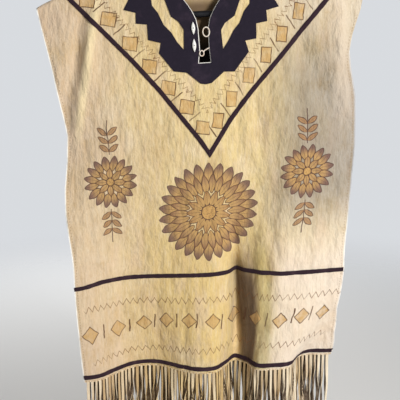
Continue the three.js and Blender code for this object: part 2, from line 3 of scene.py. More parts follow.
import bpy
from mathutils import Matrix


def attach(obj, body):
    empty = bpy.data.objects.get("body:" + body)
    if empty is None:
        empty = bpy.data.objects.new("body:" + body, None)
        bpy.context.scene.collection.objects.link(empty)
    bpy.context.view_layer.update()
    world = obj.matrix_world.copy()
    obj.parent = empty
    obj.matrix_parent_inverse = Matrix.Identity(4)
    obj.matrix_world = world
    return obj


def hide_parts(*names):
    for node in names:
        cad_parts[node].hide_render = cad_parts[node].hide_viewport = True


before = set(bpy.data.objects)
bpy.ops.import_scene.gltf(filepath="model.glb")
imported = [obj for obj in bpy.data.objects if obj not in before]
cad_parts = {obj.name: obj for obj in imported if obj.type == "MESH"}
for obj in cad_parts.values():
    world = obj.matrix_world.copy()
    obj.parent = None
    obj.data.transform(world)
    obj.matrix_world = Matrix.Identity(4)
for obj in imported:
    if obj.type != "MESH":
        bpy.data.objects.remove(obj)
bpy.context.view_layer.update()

import math

import bpy
import numpy as np
from mathutils.geometry import delaunay_2d_cdt

# ---------- camera ----------
# A standing viewer's camera, level with the chest and pitched a little down.
camera_data = bpy.data.cameras.new("studio_camera")
camera_data.sensor_fit = "HORIZONTAL"
camera_data.angle = math.radians(34.09)
camera = bpy.data.objects.new("studio_camera", camera_data)
camera.location = (-0.0147, -1.350, -0.343875)
camera.rotation_euler = (math.radians(90 - 9.7099), 0, 0)
bpy.context.scene.collection.objects.link(camera)
bpy.context.scene.camera = camera

# ---------- floor and studio light ----------
# A pale floor under the hanging poncho that fades into a pale backdrop, one key lamp at the front right,
# a weak wide lamp at the left and a wide lamp behind.
FLOOR_Z, FLOOR_REACH = -1.30, 4.0
floor_corners = [(x * FLOOR_REACH, y * FLOOR_REACH, FLOOR_Z) for x, y in ((-1, -1), (1, -1), (1, 1), (-1, 1))]
floor_mesh = bpy.data.meshes.new("floor")
floor_mesh.from_pydata(floor_corners, [], [(0, 1, 2, 3)])
floor_paint = bpy.data.materials.new("floor_paint")
floor_paint.use_nodes = True
floor_shader = floor_paint.node_tree.nodes["Principled BSDF"]
floor_shader.inputs["Base Color"].default_value = (0.76, 0.75, 0.73, 1)
floor_shader.inputs["Roughness"].default_value = 0.9
floor_place = floor_paint.node_tree.nodes.new("ShaderNodeTexCoord")
floor_reach = floor_paint.node_tree.nodes.new("ShaderNodeVectorMath")
floor_reach.operation = "LENGTH"
floor_fade = floor_paint.node_tree.nodes.new("ShaderNodeMapRange")
floor_fade.interpolation_type = "SMOOTHSTEP"
for socket, value in ((1, 1.4), (2, 3.4), (3, 1.0), (4, 0.0)):
    floor_fade.inputs[socket].default_value = value
floor_paint.node_tree.links.new(floor_place.outputs["Object"], floor_reach.inputs[0])
floor_paint.node_tree.links.new(floor_reach.outputs["Value"], floor_fade.inputs[0])
floor_paint.node_tree.links.new(floor_fade.outputs[0], floor_shader.inputs["Alpha"])
floor_mesh.materials.append(floor_paint)
floor = bpy.data.objects.new("floor", floor_mesh)
bpy.context.scene.collection.objects.link(floor)

# The backdrop that the camera sees is paler than the light that it gives.
AMBIENT, BACKDROP = 0.18, 0.74
world = bpy.data.worlds.new("studio")
world.use_nodes = True
world.node_tree.nodes["Background"].inputs["Color"].default_value = (0.93, 0.96, 1.0, 1)
seen = world.node_tree.nodes.new("ShaderNodeLightPath")
strength = world.node_tree.nodes.new("ShaderNodeMapRange")
strength.inputs[3].default_value, strength.inputs[4].default_value = AMBIENT, BACKDROP
world.node_tree.links.new(seen.outputs["Is Camera Ray"], strength.inputs[0])
world.node_tree.links.new(strength.outputs[0], world.node_tree.nodes["Background"].inputs["Strength"])
bpy.context.scene.world = world
bpy.context.scene.view_settings.view_transform = "Standard"


def soft_lamp(name, place, aim, size, watts):
    """A square area lamp at place, facing aim."""
    data = bpy.data.lights.new(name, "AREA")
    data.shape, data.size, data.energy = "SQUARE", size, watts
    lamp = bpy.data.objects.new(name, data)
    lamp.location = place
    away = np.array(place) - np.array(aim)
    lamp.rotation_euler = (math.acos(away[2] / np.linalg.norm(away)), 0, math.atan2(away[0], -away[1]))
    bpy.context.scene.collection.objects.link(lamp)


soft_lamp("lamp_key", (1.45, -2.1, 0.35), (0, 0, -0.55), 0.5, 66)
soft_lamp("lamp_left", (-2.0, -2.0, 0.1), (0, 0, -0.5), 1.8, 3)
soft_lamp("lamp_back", (-0.9, 2.6, 0.5), (0, 0, -0.5), 1.4, 56)


# ---------- front panel: the hung shape ----------
# One hide panel, cut flat with a neck opening and a slit, hangs over the hanger in deep folds. All tables
# are in millimetres of the maker's pattern: s runs across from the centre line, t runs down from the
# hanger's top.
MM = 0.001
EDGE_T, EDGE_LEFT, EDGE_RIGHT = np.array([  # side edges
    (92, -331, 324), (136, -324, 314), (184, -316, 296), (215, -311, 289), (245, -307, 291),
    (300, -300, 300), (348, -294, 301), (397, -299, 300), (460, -306, 297), (510, -308, 297),
    (600, -306, 300), (661, -307, 303), (760, -313, 312), (820, -318, 333), (874, -323, 368)], float).T
NECK_T, NECK_LEFT, NECK_RIGHT = np.array([  # neck and slit
    (14, -82, 82), (60, -60, 60), (93, -36, 36), (104, -28, 28), (118, -20, 19), (132, -14, 12),
    (150, -11, 8), (190, -10, 8), (216, -14, 10)], float).T
SLIT_END = 216.0
HEM_T = 874.0
HIDE = 2.0
SEAM_GAP = 0.3
ROLL = 9.0  # outer radius of the bend over the hanger
LEVEL_T = 390.0  # below this the grid's rows are level
PATTERN_X, TOP_Z, TILT = -20.0, -76.0, math.radians(3.3)
SHOULDER_SLOPE = 0.23
CHEST_T, WAIST_T = 400.0, 661.0  # where the folds have their chest and their waist depths
ARMHOLE_LEFT, ARMHOLE_RIGHT = 348, 376  # foot of each armhole
SAG_LEFT, SAG_RIGHT, SAG_WIDTH = (20, 285), (18, 225), 100  # each shoulder's sag and the x where it starts
FOLD_S, FOLD_CHEST, FOLD_WAIST, FOLD_HEM = np.array([  # each fold line's depths, forwards positive
    (-315, 0, 34, 30), (-160, 0, -18, -42), (-6, 3, -2, 21), (91, -5, -28, -36), (172, 0, 10, 18),
    (208, 0, 8, 18), (315, 0, 2, -52), (350, 0, 6, -48)], float).T
# Soft creases: start s and t, end s and t, reach to each side, height.
FRONT_CREASES = [
    (-245, 128, -262, 300, 20, -5), (-225, 130, -240, 290, 16, 4), (262, 130, 276, 260, 16, 5),
    (62, 250, 76, 420, 20, 3), (90, 250, 106, 430, 18, -3), (-180, 420, -165, 620, 24, 4),
    (170, 420, 185, 600, 26, 4), (-318, 118, -262, 150, 5, 0.9), (-312, 132, -268, 158, 5, -0.9),
    (300, 110, 312, 160, 6, 1.0), (-199, -60, -320, 420, 13, -8), (-173, -60, -290, 420, 13, 9),
    (43, 480, 90, 970, 13.3, -31.8), (105, 480, 123, 970, 25.4, 22.2), (120, 0, 290, 430, 19, -6.5),
    (186, 100, 200, 440, 18, -3.5), (268, 30, 280, 420, 18, 5.5), (-52, 620, -55, 960, 9, -2.2),
    (-72, 620, -74, 960, 10, 2.2), (56, 160, 66, 460, 9, -3), (80, 200, 92, 460, 11, 2.6),
    (-262, 400, -276, 640, 13, 1.2), (-232, 380, -236, 600, 11, -1.0), (-100, 320, -112, 640, 15, 1.0),
    (-58, 420, -66, 660, 11, -0.9), (24, 430, 34, 660, 12, 1.2), (128, 300, 140, 640, 12, -1.2),
    (232, 300, 246, 640, 16, 1.4), (206, 330, 214, 560, 9, -0.9), (-200, 180, -214, 380, 16, 1.1),
    (176, 200, 190, 400, 14, -1.1), (40, 680, 46, 860, 8, 1.2), (-120, 690, -126, 860, 9, -1.1),
    (230, 690, 244, 860, 12, 1.3), (-250, 690, -258, 850, 14, 1.0), (148, 670, 142, 850, 7, 1.1),
]
BACK_CREASES = [
    (56, 520, 76, 950, 34, 6.5), (-235, 120, -215, 420, 24, 5), (230, 120, 205, 430, 26, -5),
    (-70, 240, -50, 560, 30, 4), (80, 260, 95, 600, 30, -4), (-160, 200, -172, 640, 14, 1.3),
    (10, 150, 2, 520, 16, -1.3), (160, 300, 178, 820, 15, 1.4), (-270, 420, -262, 820, 14, 1.2),
    (256, 180, 246, 520, 12, 1.2), (-20, 560, -36, 850, 13, 1.2), (60, 640, 70, 860, 9, -1.1),
    (-316, 116, -268, 150, 6, 1.0),
]


def eased(x):
    """From 0 to 1 along a smooth S: three x squared less two x cubed."""
    x = np.clip(x, 0, 1)
    return x * x * (3 - 2 * x)


def shoulder_t(s):
    """Top of the shoulder seam: two equal slopes from the hanger's centre, sagging beyond its ends."""
    x = s + PATTERN_X
    left_sag = SAG_LEFT[0] * np.clip((-x - SAG_LEFT[1]) / SAG_WIDTH, 0, 1) ** 2
    right_sag = SAG_RIGHT[0] * np.clip((x - SAG_RIGHT[1]) / SAG_WIDTH, 0, 1) ** 2
    return SHOULDER_SLOPE * np.abs(x) + np.where(x < 0, left_sag, right_sag)


def folds_at(s, t):
    """Depth of the folds towards the front: straight slopes with rounded ends between the fold lines, each
    line going from its chest depth through its waist depth to its hem depth."""
    k = np.clip(np.searchsorted(FOLD_S, s), 1, len(FOLD_S) - 1)
    share = np.clip((s - FOLD_S[k - 1]) / (FOLD_S[k] - FOLD_S[k - 1]), 0, 1)
    end = 0.3  # share of each rounded end
    steep = 1 / (1 - end)
    rounded = np.where(share < end, steep * share**2 / (2 * end), np.where(
        share > 1 - end, 1 - steep * (1 - share) ** 2 / (2 * end), steep * (share - end / 2)))

    def line_depth(i):
        upper = FOLD_CHEST[i] * eased(2 * t / CHEST_T - 1)
        mid = FOLD_CHEST[i] + (FOLD_WAIST[i] - FOLD_CHEST[i]) * eased((t - CHEST_T) / (WAIST_T - CHEST_T))
        low = FOLD_WAIST[i] + (FOLD_HEM[i] - FOLD_WAIST[i]) * np.clip((t - WAIST_T) / (HEM_T - WAIST_T), 0, 1)
        return np.where(t < CHEST_T, upper, np.where(t < WAIST_T, mid, low))

    return line_depth(k - 1) + (line_depth(k) - line_depth(k - 1)) * rounded


def half_depth(s, t):
    """Half the outside depth of the poncho, rising from the side seam inwards on a quarter sine, and its
    value at the seam."""
    left = s < 0
    closing, bulge, bulge_t, inset, rise_width = 110, 8, 130, 7, 105
    closed = eased((t - np.where(left, ARMHOLE_LEFT, ARMHOLE_RIGHT) + closing) / closing)
    at_edge = ROLL + (HIDE - ROLL) * closed
    at_middle = ROLL + bulge * eased((t - shoulder_t(s)) / bulge_t)
    edge = np.where(left, -np.interp(t, EDGE_T, EDGE_LEFT), np.interp(t, EDGE_T, EDGE_RIGHT))
    rise = np.sin(np.pi / 2 * np.clip((edge - np.abs(s) - inset) / rise_width, 0, 1))
    return at_edge + (at_middle - at_edge) * rise, at_edge


def middle(s, t):
    """The surface midway between front and back; low down it moves back so that the front carries the
    folds."""
    depth, at_edge = half_depth(s, t)
    moved = eased((t - 250) / 350)  # none above t 250, all below t 600
    return folds_at(s, t) - moved * (depth - at_edge)


# Distance across in the hung shape: the folds' slope takes up width, summed from the centre line outwards.
RUN_REACH, STEP_S, STEP_T = 400, 2.5, 4.0
RUN_S, RUN_T = np.arange(-RUN_REACH, RUN_REACH + 0.1, STEP_S), np.arange(0, 1000.1, STEP_T)
rises = np.diff(middle(RUN_S[:, None], RUN_T[None, :]), axis=0) / STEP_S
run = np.cumsum(STEP_S * np.sqrt(1 - np.minimum(0.9, rises**2)), axis=0)
run = np.vstack([np.zeros((1, len(RUN_T))), run])
run -= run[len(RUN_S) // 2]


def across(s, t):
    """Bilinear reading of the run table."""
    i = np.clip((s + RUN_REACH) / STEP_S, 0, len(RUN_S) - 1.001)
    j = np.clip(t / STEP_T, 0, len(RUN_T) - 1.001)
    a, b = i.astype(int), j.astype(int)
    u, v = i - a, j - b
    above, below = (run[a, row] * (1 - u) + run[a + 1, row] * u for row in (b, b + 1))
    return above * (1 - v) + below * v


def creases_at(creases, s, t):
    """Bell-shaped ridges and troughs along straight lines, fading towards their ends."""
    total = np.zeros(np.broadcast(s, t).shape)
    for s0, t0, s1, t1, reach, height in creases:
        length = math.hypot(s1 - s0, t1 - t0)
        along = ((s - s0) * (s1 - s0) + (t - t0) * (t1 - t0)) / length**2
        off = ((s - s0) * (t1 - t0) - (t - t0) * (s1 - s0)) / length
        total += height * np.exp(-((off / reach) ** 2)) * eased(2 * along) * eased(2 * (1 - along))
    return total


def hide_surface(s, t, face):
    """Outer surface of a panel in millimetres: middle surface plus half depth, rolled over the hanger at
    the top on a circle of radius ROLL, then tilted with the hanger. face is 1 for the front, -1 for the
    back."""
    below = t - shoulder_t(s)
    rolled = np.sqrt(np.maximum(0, ROLL**2 - (ROLL - below) ** 2))
    depth = np.where(below < ROLL, rolled, half_depth(s, t)[0])
    relief = eased((below - 10) / 60) * creases_at(FRONT_CREASES if face > 0 else BACK_CREASES, s, t)
    forward = middle(s, t) + face * (depth + SEAM_GAP / 2 + relief)
    x, z = PATTERN_X + across(s, t), TOP_Z - t
    plumb = math.sin(TILT) * np.maximum(0, t - CHEST_T)
    return np.stack([x * math.cos(TILT) - z * math.sin(TILT) - plumb, -forward,
                     x * math.sin(TILT) + z * math.cos(TILT)], -1)


def hung(s, t, face, out=0.0):
    """Pattern points in the hung shape, moved out along the surface's normal by out."""
    s, t = np.broadcast_arrays(np.asarray(s, float), np.asarray(t, float))
    step = 1.5
    below = t - shoulder_t(s)
    sideways = hide_surface(s + step, t, face) - hide_surface(s - step, t, face)
    down = hide_surface(s, t + step, face) - hide_surface(s, t - step, face)
    on_roll = (below < ROLL + step)[..., None]
    angle = np.arccos(np.clip((ROLL - below) / ROLL, 0, 1))
    seam_side = (hide_surface(s + step, shoulder_t(s + step) + below, face)
                 - hide_surface(s - step, shoulder_t(s - step) + below, face))
    seam_down = np.stack([0 * angle, -face * np.cos(angle), -np.sin(angle)], -1)
    normal = np.cross(np.where(on_roll, seam_down, down), np.where(on_roll, seam_side, sideways)) * face
    normal /= np.linalg.norm(normal, axis=-1, keepdims=True)
    return hide_surface(s, t, face) + normal * np.asarray(out)[..., None]


def pattern_grid(neck_t, neck_left, neck_right, slit_end, columns, roll_rows, upper_rows, lower_rows):
    """Rows and columns of pattern points: the first rows follow the shoulder's roll, the next turn level
    and meet the neck column at slit_end, the rest are level. Columns go from the left edge to the neck and
    on to the right edge, closer at the edges."""
    rolls = np.linspace(0, ROLL, roll_rows)
    lower = np.linspace(LEVEL_T, HEM_T, lower_rows + 1)[1:]
    roll_t = 28  # about where the roll ends beside the neck
    open_rows = round(upper_rows * (slit_end - roll_t) / (LEVEL_T - roll_t))
    near_edge = np.array([0, 1.3, 3.2, 7]) / abs(EDGE_LEFT[0] - neck_left[0])
    shares = np.concatenate([near_edge, np.linspace(near_edge[-1], 1, columns)[1:]])[None, :]

    def half(edge, neck):
        start = ROLL + shoulder_t(neck[0])
        at_slit = (slit_end - start) / (LEVEL_T - start)
        upper = np.concatenate([np.linspace(0, at_slit, open_rows + 1)[1:],
                                np.linspace(at_slit, 1, upper_rows - open_rows + 1)[1:]])
        offset = np.concatenate([rolls, ROLL * (1 - upper) + LEVEL_T * upper, lower])[:, None]
        factor = np.concatenate([np.ones(roll_rows), 1 - upper, np.zeros(lower_rows)])[:, None]
        edge_s = np.interp(offset + factor * EDGE_T[0], EDGE_T, edge)
        neck_s = np.interp(offset + factor * shoulder_t(neck[0]), neck_t, neck)
        s = edge_s + (neck_s - edge_s) * shares
        top = shoulder_t(edge[0] + (neck[0] - edge[0]) * shares)
        t = np.maximum(offset + factor * top, shoulder_t(s) + np.minimum(ROLL, offset))
        return s, t

    (s_left, t_left), (s_right, t_right) = half(EDGE_LEFT, neck_left), half(EDGE_RIGHT, neck_right)
    return np.hstack([s_left, s_right[:, ::-1]]), np.hstack([t_left, t_right[:, ::-1]])


def distance_to_cut(s, t, neck_t, neck_left, neck_right, slit_end):
    """Millimetres from a pattern point to the nearest cut edge at the sides, the neck or the slit's end."""
    side = np.minimum(s - np.interp(t, EDGE_T, EDGE_LEFT), np.interp(t, EDGE_T, EDGE_RIGHT) - s)
    left, right = np.interp(t, neck_t, neck_left), np.interp(t, neck_t, neck_right)
    neck = np.where(t <= slit_end, np.maximum(left - s, s - right), np.hypot(
        np.maximum(0, np.maximum(neck_left[-1] - s, s - neck_right[-1])), t - slit_end))
    return np.maximum(0, np.minimum(side, neck))


def closed_wall(outer, inner, keep):
    """Vertices and quads of a wall between two grids of points, with its rim, for the cells that are kept."""
    rows, columns = outer.shape[:2]
    index = np.arange(rows * columns).reshape(rows, columns)
    a, b, c, d = index[:-1, :-1], index[1:, :-1], index[1:, 1:], index[:-1, 1:]
    n = rows * columns
    around = np.pad(keep, 1)
    sides = [(~around[:-2, 1:-1], d, a), (~around[2:, 1:-1], b, c), (~around[1:-1, :-2], a, b),
             (~around[1:-1, 2:], c, d)]
    quads = [np.stack([a, b, c, d], -1)[keep], np.stack([d, c, b, a], -1)[keep] + n]
    for open_side, p, q in sides:
        rim = keep & open_side
        quads.append(np.stack([q[rim], p[rim], p[rim] + n, q[rim] + n], -1))
    return np.concatenate([outer.reshape(-1, 3), inner.reshape(-1, 3)]), np.concatenate(quads)


SHARP = math.radians(50)  # edges that turn by more than this are cut edges


def add_piece(name, points, faces, materials, pattern=None, which=None):
    """A smooth-shaded mesh piece. points are in millimetres; pattern holds (s, t, edge distance) per point,
    and which the number of each face's material."""
    mesh = bpy.data.meshes.new(name)
    mesh.from_pydata((points * MM).tolist(), [], faces.tolist() if isinstance(faces, np.ndarray) else faces)
    if pattern is not None:
        mesh.attributes.new("pattern", "FLOAT_VECTOR", "POINT").data.foreach_set("vector", pattern.ravel())
    mesh.shade_smooth()
    mesh.set_sharp_from_angle(angle=SHARP)
    for material in materials:
        mesh.materials.append(material)
    if which is not None:
        mesh.polygons.foreach_set("material_index", np.asarray(which, np.int32))
    piece = bpy.data.objects.new(name, mesh)
    bpy.context.scene.collection.objects.link(piece)
    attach(piece, "root")
    return piece


# ---------- front panel: the hide's finish ----------
# Brain-tanned buckskin: a pale nap, yellower low in the middle and whiter to the right, with raw edges almost
# white. The groups below hold the nap and the hide's colour, and every hide piece places them.
def tint(red, green, blue):
    """Display colour from 0 to 255, as the linear colour that a socket takes."""
    share = np.array([red, green, blue]) / 255
    linear = np.where(share <= 0.04045, share / 12.92, ((share + 0.055) / 1.055) ** 2.4)
    return (*linear.tolist(), 1.0)


class Signal:
    """One output of a node. Sums, products and masks of signals are further nodes in the same tree."""

    def __init__(self, wiring, socket):
        self.wiring, self.socket = wiring, socket

    def __add__(self, other):
        return self.wiring.math("ADD", self, other)

    def __sub__(self, other):
        return self.wiring.math("SUBTRACT", self, other)

    def __rsub__(self, other):
        return self.wiring.math("SUBTRACT", other, self)

    def __mul__(self, other):
        return self.wiring.math("MULTIPLY", self, other)

    def __truediv__(self, other):
        return self.wiring.math("DIVIDE", self, other)

    def __or__(self, other):
        """The larger of two masks."""
        return self.wiring.math("MAXIMUM", self, other)

    def __abs__(self):
        return self.wiring.math("ABSOLUTE", self)

    __radd__ = __add__

    def band(self, low, high, to_low=0.0, to_high=1.0):
        """Smooth step from to_low at low to to_high at high."""
        return self.wiring.node("ShaderNodeMapRange", {0: self, 1: low, 2: high, 3: to_low, 4: to_high},
                                interpolation_type="SMOOTHSTEP")

    def parts(self):
        """The three numbers of a vector."""
        made = self.wiring.tree.nodes.new("ShaderNodeSeparateXYZ")
        self.wiring.put(self, made.inputs[0])
        return [Signal(self.wiring, number) for number in made.outputs]

    def drawn_out(self, share):
        """A place whose height counts only by share, so that a noise on it runs down the hide."""
        return self.wiring.node("ShaderNodeVectorMath", {0: self, 1: (1.0, 1.0, share)}, operation="MULTIPLY")

    def times(self, tone):
        """A colour times a tone."""
        return self.wiring.node("ShaderNodeVectorMath", {0: self, "Scale": tone}, operation="SCALE")

    def noise(self, scale, detail=2.0, roughness=0.5, output=0):
        """Noise at a place."""
        return self.wiring.node("ShaderNodeTexNoise", {"Vector": self, "Scale": scale, "Detail": detail,
                                                       "Roughness": roughness}, output)


class Wiring:
    """Adds nodes to one tree. Each input is a number, a colour or a signal."""

    def __init__(self, tree):
        self.tree = tree

    def put(self, value, socket):
        """Links a signal to a socket, or sets the socket."""
        if isinstance(value, Signal):
            self.tree.links.new(value.socket, socket)
        else:
            socket.default_value = value

    def node(self, kind, inputs=(), output=0, **settings):
        made = self.tree.nodes.new(kind)
        for key, value in settings.items():
            setattr(made, key, value)
        for key, value in dict(inputs).items():
            self.put(value, made.inputs[key])
        return Signal(self, made.outputs[output])

    def math(self, operation, *values):
        return self.node("ShaderNodeMath", enumerate(values), operation=operation)

    def mix(self, factor, a, b, blend="MIX"):
        return self.node("ShaderNodeMix", {0: factor, 6: a, 7: b}, 2, data_type="RGBA", blend_type=blend)

    def place(self):
        """The place on the object."""
        return self.node("ShaderNodeTexCoord", (), 3)

    def pattern(self):
        """The place on the flat pattern, or on a toggle."""
        return self.node("ShaderNodeAttribute", (), 1, attribute_name="pattern")

    def ramp(self, value, stops, interpolation="LINEAR"):
        """Colour ramp through (position, colour) stops."""
        made = self.tree.nodes.new("ShaderNodeValToRGB")
        made.color_ramp.interpolation = interpolation
        elements = made.color_ramp.elements
        while len(elements) < len(stops):
            elements.new(0.5)
        for element, (position, colour) in zip(elements, stops):
            element.position, element.color = position, colour
        self.put(value, made.inputs[0])
        return Signal(self, made.outputs[0])

    def group(self, tree, **inputs):
        """Places a group with its own values and returns its outputs by name."""
        made = self.tree.nodes.new("ShaderNodeGroup")
        made.node_tree = tree
        for key, value in inputs.items():
            self.put(value, made.inputs[key])
        return {output.name: Signal(self, output) for output in made.outputs}


SOCKETS = {"f": "NodeSocketFloat", "v": "NodeSocketVector", "c": "NodeSocketColor"}


def new_group(name, inputs, outputs):
    """An empty shader group. inputs and outputs name its sockets, each with f, v or c before the name for
    float, vector or colour. Returns its wiring, its inputs and a function that closes it with its outputs'
    values."""
    tree = bpy.data.node_groups.new(name, "ShaderNodeTree")
    for in_out, labels in (("INPUT", inputs), ("OUTPUT", outputs)):
        for label in labels.split():
            tree.interface.new_socket(label[1:], in_out=in_out, socket_type=SOCKETS[label[0]])
    wiring = Wiring(tree)
    given, results = tree.nodes.new("NodeGroupInput").outputs, tree.nodes.new("NodeGroupOutput").inputs

    def close(**values):
        for key, value in values.items():
            wiring.put(value, results[key])
        return tree

    return wiring, [Signal(wiring, given[label[1:]]) for label in inputs.split()], close


def new_material(name, roughness, sheen=0.0):
    """A Principled material with its constant sockets set; returns the material, its shader and wiring."""
    material = bpy.data.materials.new(name)
    material.use_nodes = True
    shader = material.node_tree.nodes["Principled BSDF"]
    for key, value in (("Roughness", roughness), ("Specular IOR Level", 0.25), ("Sheen Weight", sheen),
                       ("Sheen Roughness", 0.6)):
        shader.inputs[key].default_value = value
    return material, shader, Wiring(material.node_tree)


# Nap: short brushed fibres. Tone is about 1 and multiplies a colour; Height feeds a bump.
DOWN_NAP = 0.45
wiring, (place, fibre, strength), close = new_group("brushed_nap", "vPlace fFibre fStrength", "fTone fHeight")
fibres = place.drawn_out(DOWN_NAP).noise(fibre, 3.0, 0.65) * 0.6 + place.noise(fibre * 0.12, 3.0, 0.6) * 0.4
brushed_nap = close(Tone=1.0 + (fibres - 0.5) * strength, Height=fibres)

# Hide colour: a slow change across and down the pattern, blotches, and the pale raw edge.
wiring, (pattern, place), close = new_group("hide_colour", "vPattern vPlace", "cColor")
s, t, edge = pattern.parts()
drift = (place.noise(5.0, 3.0, 0.6) - 0.5) * 0.5 + 0.5
hide = wiring.ramp(s * (1 / 700) + drift, [
    (0.0, tint(220, 194, 166)), (0.2, tint(224, 199, 160)), (0.42, tint(228, 203, 146)),
    (0.58, tint(230, 205, 148)), (0.74, tint(234, 213, 174)), (1.0, tint(242, 226, 202))])
hide = wiring.mix(t.band(350, 800) * abs(s + 30).band(60, 210, 0.8, 0.0), hide, tint(232, 200, 130))
for scale, detail, roughness, low, high, share, patch in (
        (14.0, 5.0, 0.65, 0.48, 0.72, 0.62, tint(202, 170, 114)),
        (9.0, 4.0, 0.6, 0.52, 0.78, 0.5, tint(240, 220, 190))):
    hide = wiring.mix(place.noise(scale, detail, roughness).band(low, high, 0.0, share), hide, patch)
# Grain: long brush strokes down the hide, dark ones and pale ones.
for down, scale, low, high, share, stroke in (
        (0.16, 420.0, 0.4, 0.85, 0.42, tint(192, 154, 102)),
        (0.12, 260.0, 0.42, 0.85, 0.36, tint(248, 234, 210)),
        (0.2, 60.0, 0.45, 0.75, 0.34, tint(206, 170, 118)),
        (0.3, 34.0, 0.48, 0.72, 0.42, tint(232, 204, 174))):
    hide = wiring.mix(place.drawn_out(down).noise(scale, 3.0, 0.6).band(low, high, 0.0, share), hide, stroke)
raw = (edge + (place.noise(160.0) * 1.6 - 0.8)).band(1.8, 3.0, 1.0, 0.0)
hide_colour = close(Color=wiring.mix(raw, hide, tint(255, 250, 240)))


def hide_base(wiring):
    """The hide's colour with its nap, for one material: returns colour, nap height, s, t, edge and place."""
    pattern, place = wiring.pattern(), wiring.place()
    base = wiring.group(hide_colour, Pattern=pattern, Place=place)
    nap = wiring.group(brushed_nap, Place=place, Fibre=900.0, Strength=0.34)
    return base["Color"].times(nap["Tone"]), nap["Height"], *pattern.parts(), place


def finish_hide(wiring, shader, colour, height, strength=0.35, place=None):
    """Feeds colour and a bump made from height, in units of the nap's relief, to the shader. Where a place is
    given, the hide is also a little rumpled: a broad noise, drawn out down the hide, under the nap's bump."""
    wiring.put(colour, shader.inputs["Base Color"])
    relief = {"Strength": strength, "Distance": 0.0012, "Height": height}
    if place is not None:
        rumple = place.drawn_out(DOWN_NAP).noise(42.0, 4.0, 0.55)
        relief["Normal"] = wiring.node("ShaderNodeBump", {"Strength": 0.8, "Distance": 0.014,
                                                          "Height": rumple})
    wiring.put(wiring.node("ShaderNodeBump", relief), shader.inputs["Normal"])


# ---------- front panel: tooled and tinted marks ----------
# Squares and ticks beside the V, zigzags, and a row of diamonds and bars above the hem are burnt and tinted
# by hand. The breast carries a round sun of leaf petals, two small rounds and four leaf sprigs.

# A box mark: Fill inside, Edge along its outline, from the pattern point, the box's centre, turn and half
# sizes.
wiring, (point, centre, turn, wide, tall, line), close = new_group(
    "tooled_box", "vPoint vCentre fTurn fWide fTall fLine", "fFill fEdge")
local = wiring.node("ShaderNodeVectorMath", {0: point, 1: centre}, operation="SUBTRACT")
local = wiring.node("ShaderNodeVectorRotate", {"Vector": local, "Angle": turn}, rotation_type="Z_AXIS")
x, y, _ = local.parts()
outside = (abs(x) - wide) | (abs(y) - tall)
tooled_box = close(Fill=outside.band(-0.4, 0.4, 1.0, 0.0),
                   Edge=(abs(outside) - line * 0.5).band(-0.5, 0.5, 1.0, 0.0))

# A zigzag line: a triangle wave of the given pitch and height along one way, as a line of even width.
wiring, (along, off, pitch, height, line), close = new_group(
    "tooled_zigzag", "fAlong fOff fPitch fHeight fLine", "fEdge")
wave = (wiring.math("PINGPONG", along / pitch, 0.5) * 4.0 - 1.0) * height
slope = height * 4.0 / pitch
off = abs(off - wave) / wiring.math("SQRT", slope * slope + 1.0)
tooled_zigzag = close(Edge=(off - line * 0.5).band(-0.5, 0.5, 1.0, 0.0))

# A pointed leaf: half width grows and shrinks as a sine along it. Veins run back from its midrib.
wiring, (along, off, length, reach), close = new_group(
    "tooled_leaf", "fAlong fOff fLength fReach", "fFill fEdge fVein fTip")
share = along / length
inside = wiring.math("GREATER_THAN", share, 0.0) * wiring.math("LESS_THAN", share, 1.0)
bulge = wiring.math("POWER", wiring.math("SINE", share * math.pi) | 0.0, 0.75)
off = abs(off)
outside = off - bulge * reach
barb = wiring.math("PINGPONG", along - off * 1.6, 1.9)
tooled_leaf = close(Fill=inside * outside.band(-0.4, 0.4, 1.0, 0.0),
                    Edge=inside * abs(outside).band(0.3, 1.3, 1.0, 0.0),
                    Vein=off.band(0.3, 0.9, 1.0, 0.0) | barb.band(0.25, 0.8, 0.75, 0.0), Tip=share)

# A ring of leaf petals round a centre: the leaf above, with its angle repeated Count times.
wiring, (x, y, count, shift, inner, length, reach), close = new_group(
    "petal_ring", "fX fY fCount fShift fInner fLength fReach", "fFill fEdge fVein fTip")
radius = wiring.math("SQRT", x * x + y * y)
cell = wiring.math("FRACT", wiring.math("ARCTAN2", y, x) / (2 * math.pi) * count + shift)
angle = (cell * (2 * math.pi) - math.pi) / count
petal = wiring.group(tooled_leaf, Along=radius - inner, Off=angle * radius, Length=length, Reach=reach)
petal_ring = close(**petal)

front_hide, front_shader, wiring = new_material("front_hide", 0.93, 0.15)
hide, nap_height, s, t, edge, place = hide_base(wiring)
# Painted light on the front alone: painted shade on the greyer right breast and in the deep fold, with an
# olive painted shade beside it, a painted highlight beyond, and painted highlights along two folds' crests.
# Painted shade on the right breast, which also turns the hide greyer.
greyed_and_shaded = s.band(70, 205, 0.0, 0.95) * (t.band(110, 290, 0.4, 1.0) * t.band(610, 470))
hide = wiring.mix(greyed_and_shaded, hide, tint(184, 186, 194), "MULTIPLY")
from_fold = s - (t * 0.18 - 43)
# Painted shade in the deep fold, along its floor.
fold_painted_shade = abs(from_fold).band(30, 12, 0.0, 0.93) * t.band(600, 690)
hide = wiring.mix(fold_painted_shade, hide, tint(104, 90, 86), "MULTIPLY")
# Olive painted shade on the fold's wall beyond its floor.
olive_painted_shade = abs(from_fold - 44).band(30, 14) * t.band(540, 640)
hide = wiring.mix(olive_painted_shade, hide, tint(226, 226, 204), "MULTIPLY")
# Painted highlight on the ridge beyond the fold.
beyond = from_fold.band(66, 96, 0.0, 0.45) * t.band(560, 660)
hide = wiring.mix(beyond, hide, tint(250, 232, 216))
# Painted highlights along the crests of two folds.
for crest_s, lean, reach, share, pale in ((-188, -0.235, 15, 0.75, tint(250, 228, 180)),
                                          (266, 0.03, 30, 0.5, tint(234, 214, 190))):
    off_lit_crest = abs(s - (t * lean + crest_s))
    hide = wiring.mix(off_lit_crest.band(reach, 2, 0.0, share) * t.band(400, 280), hide, pale)
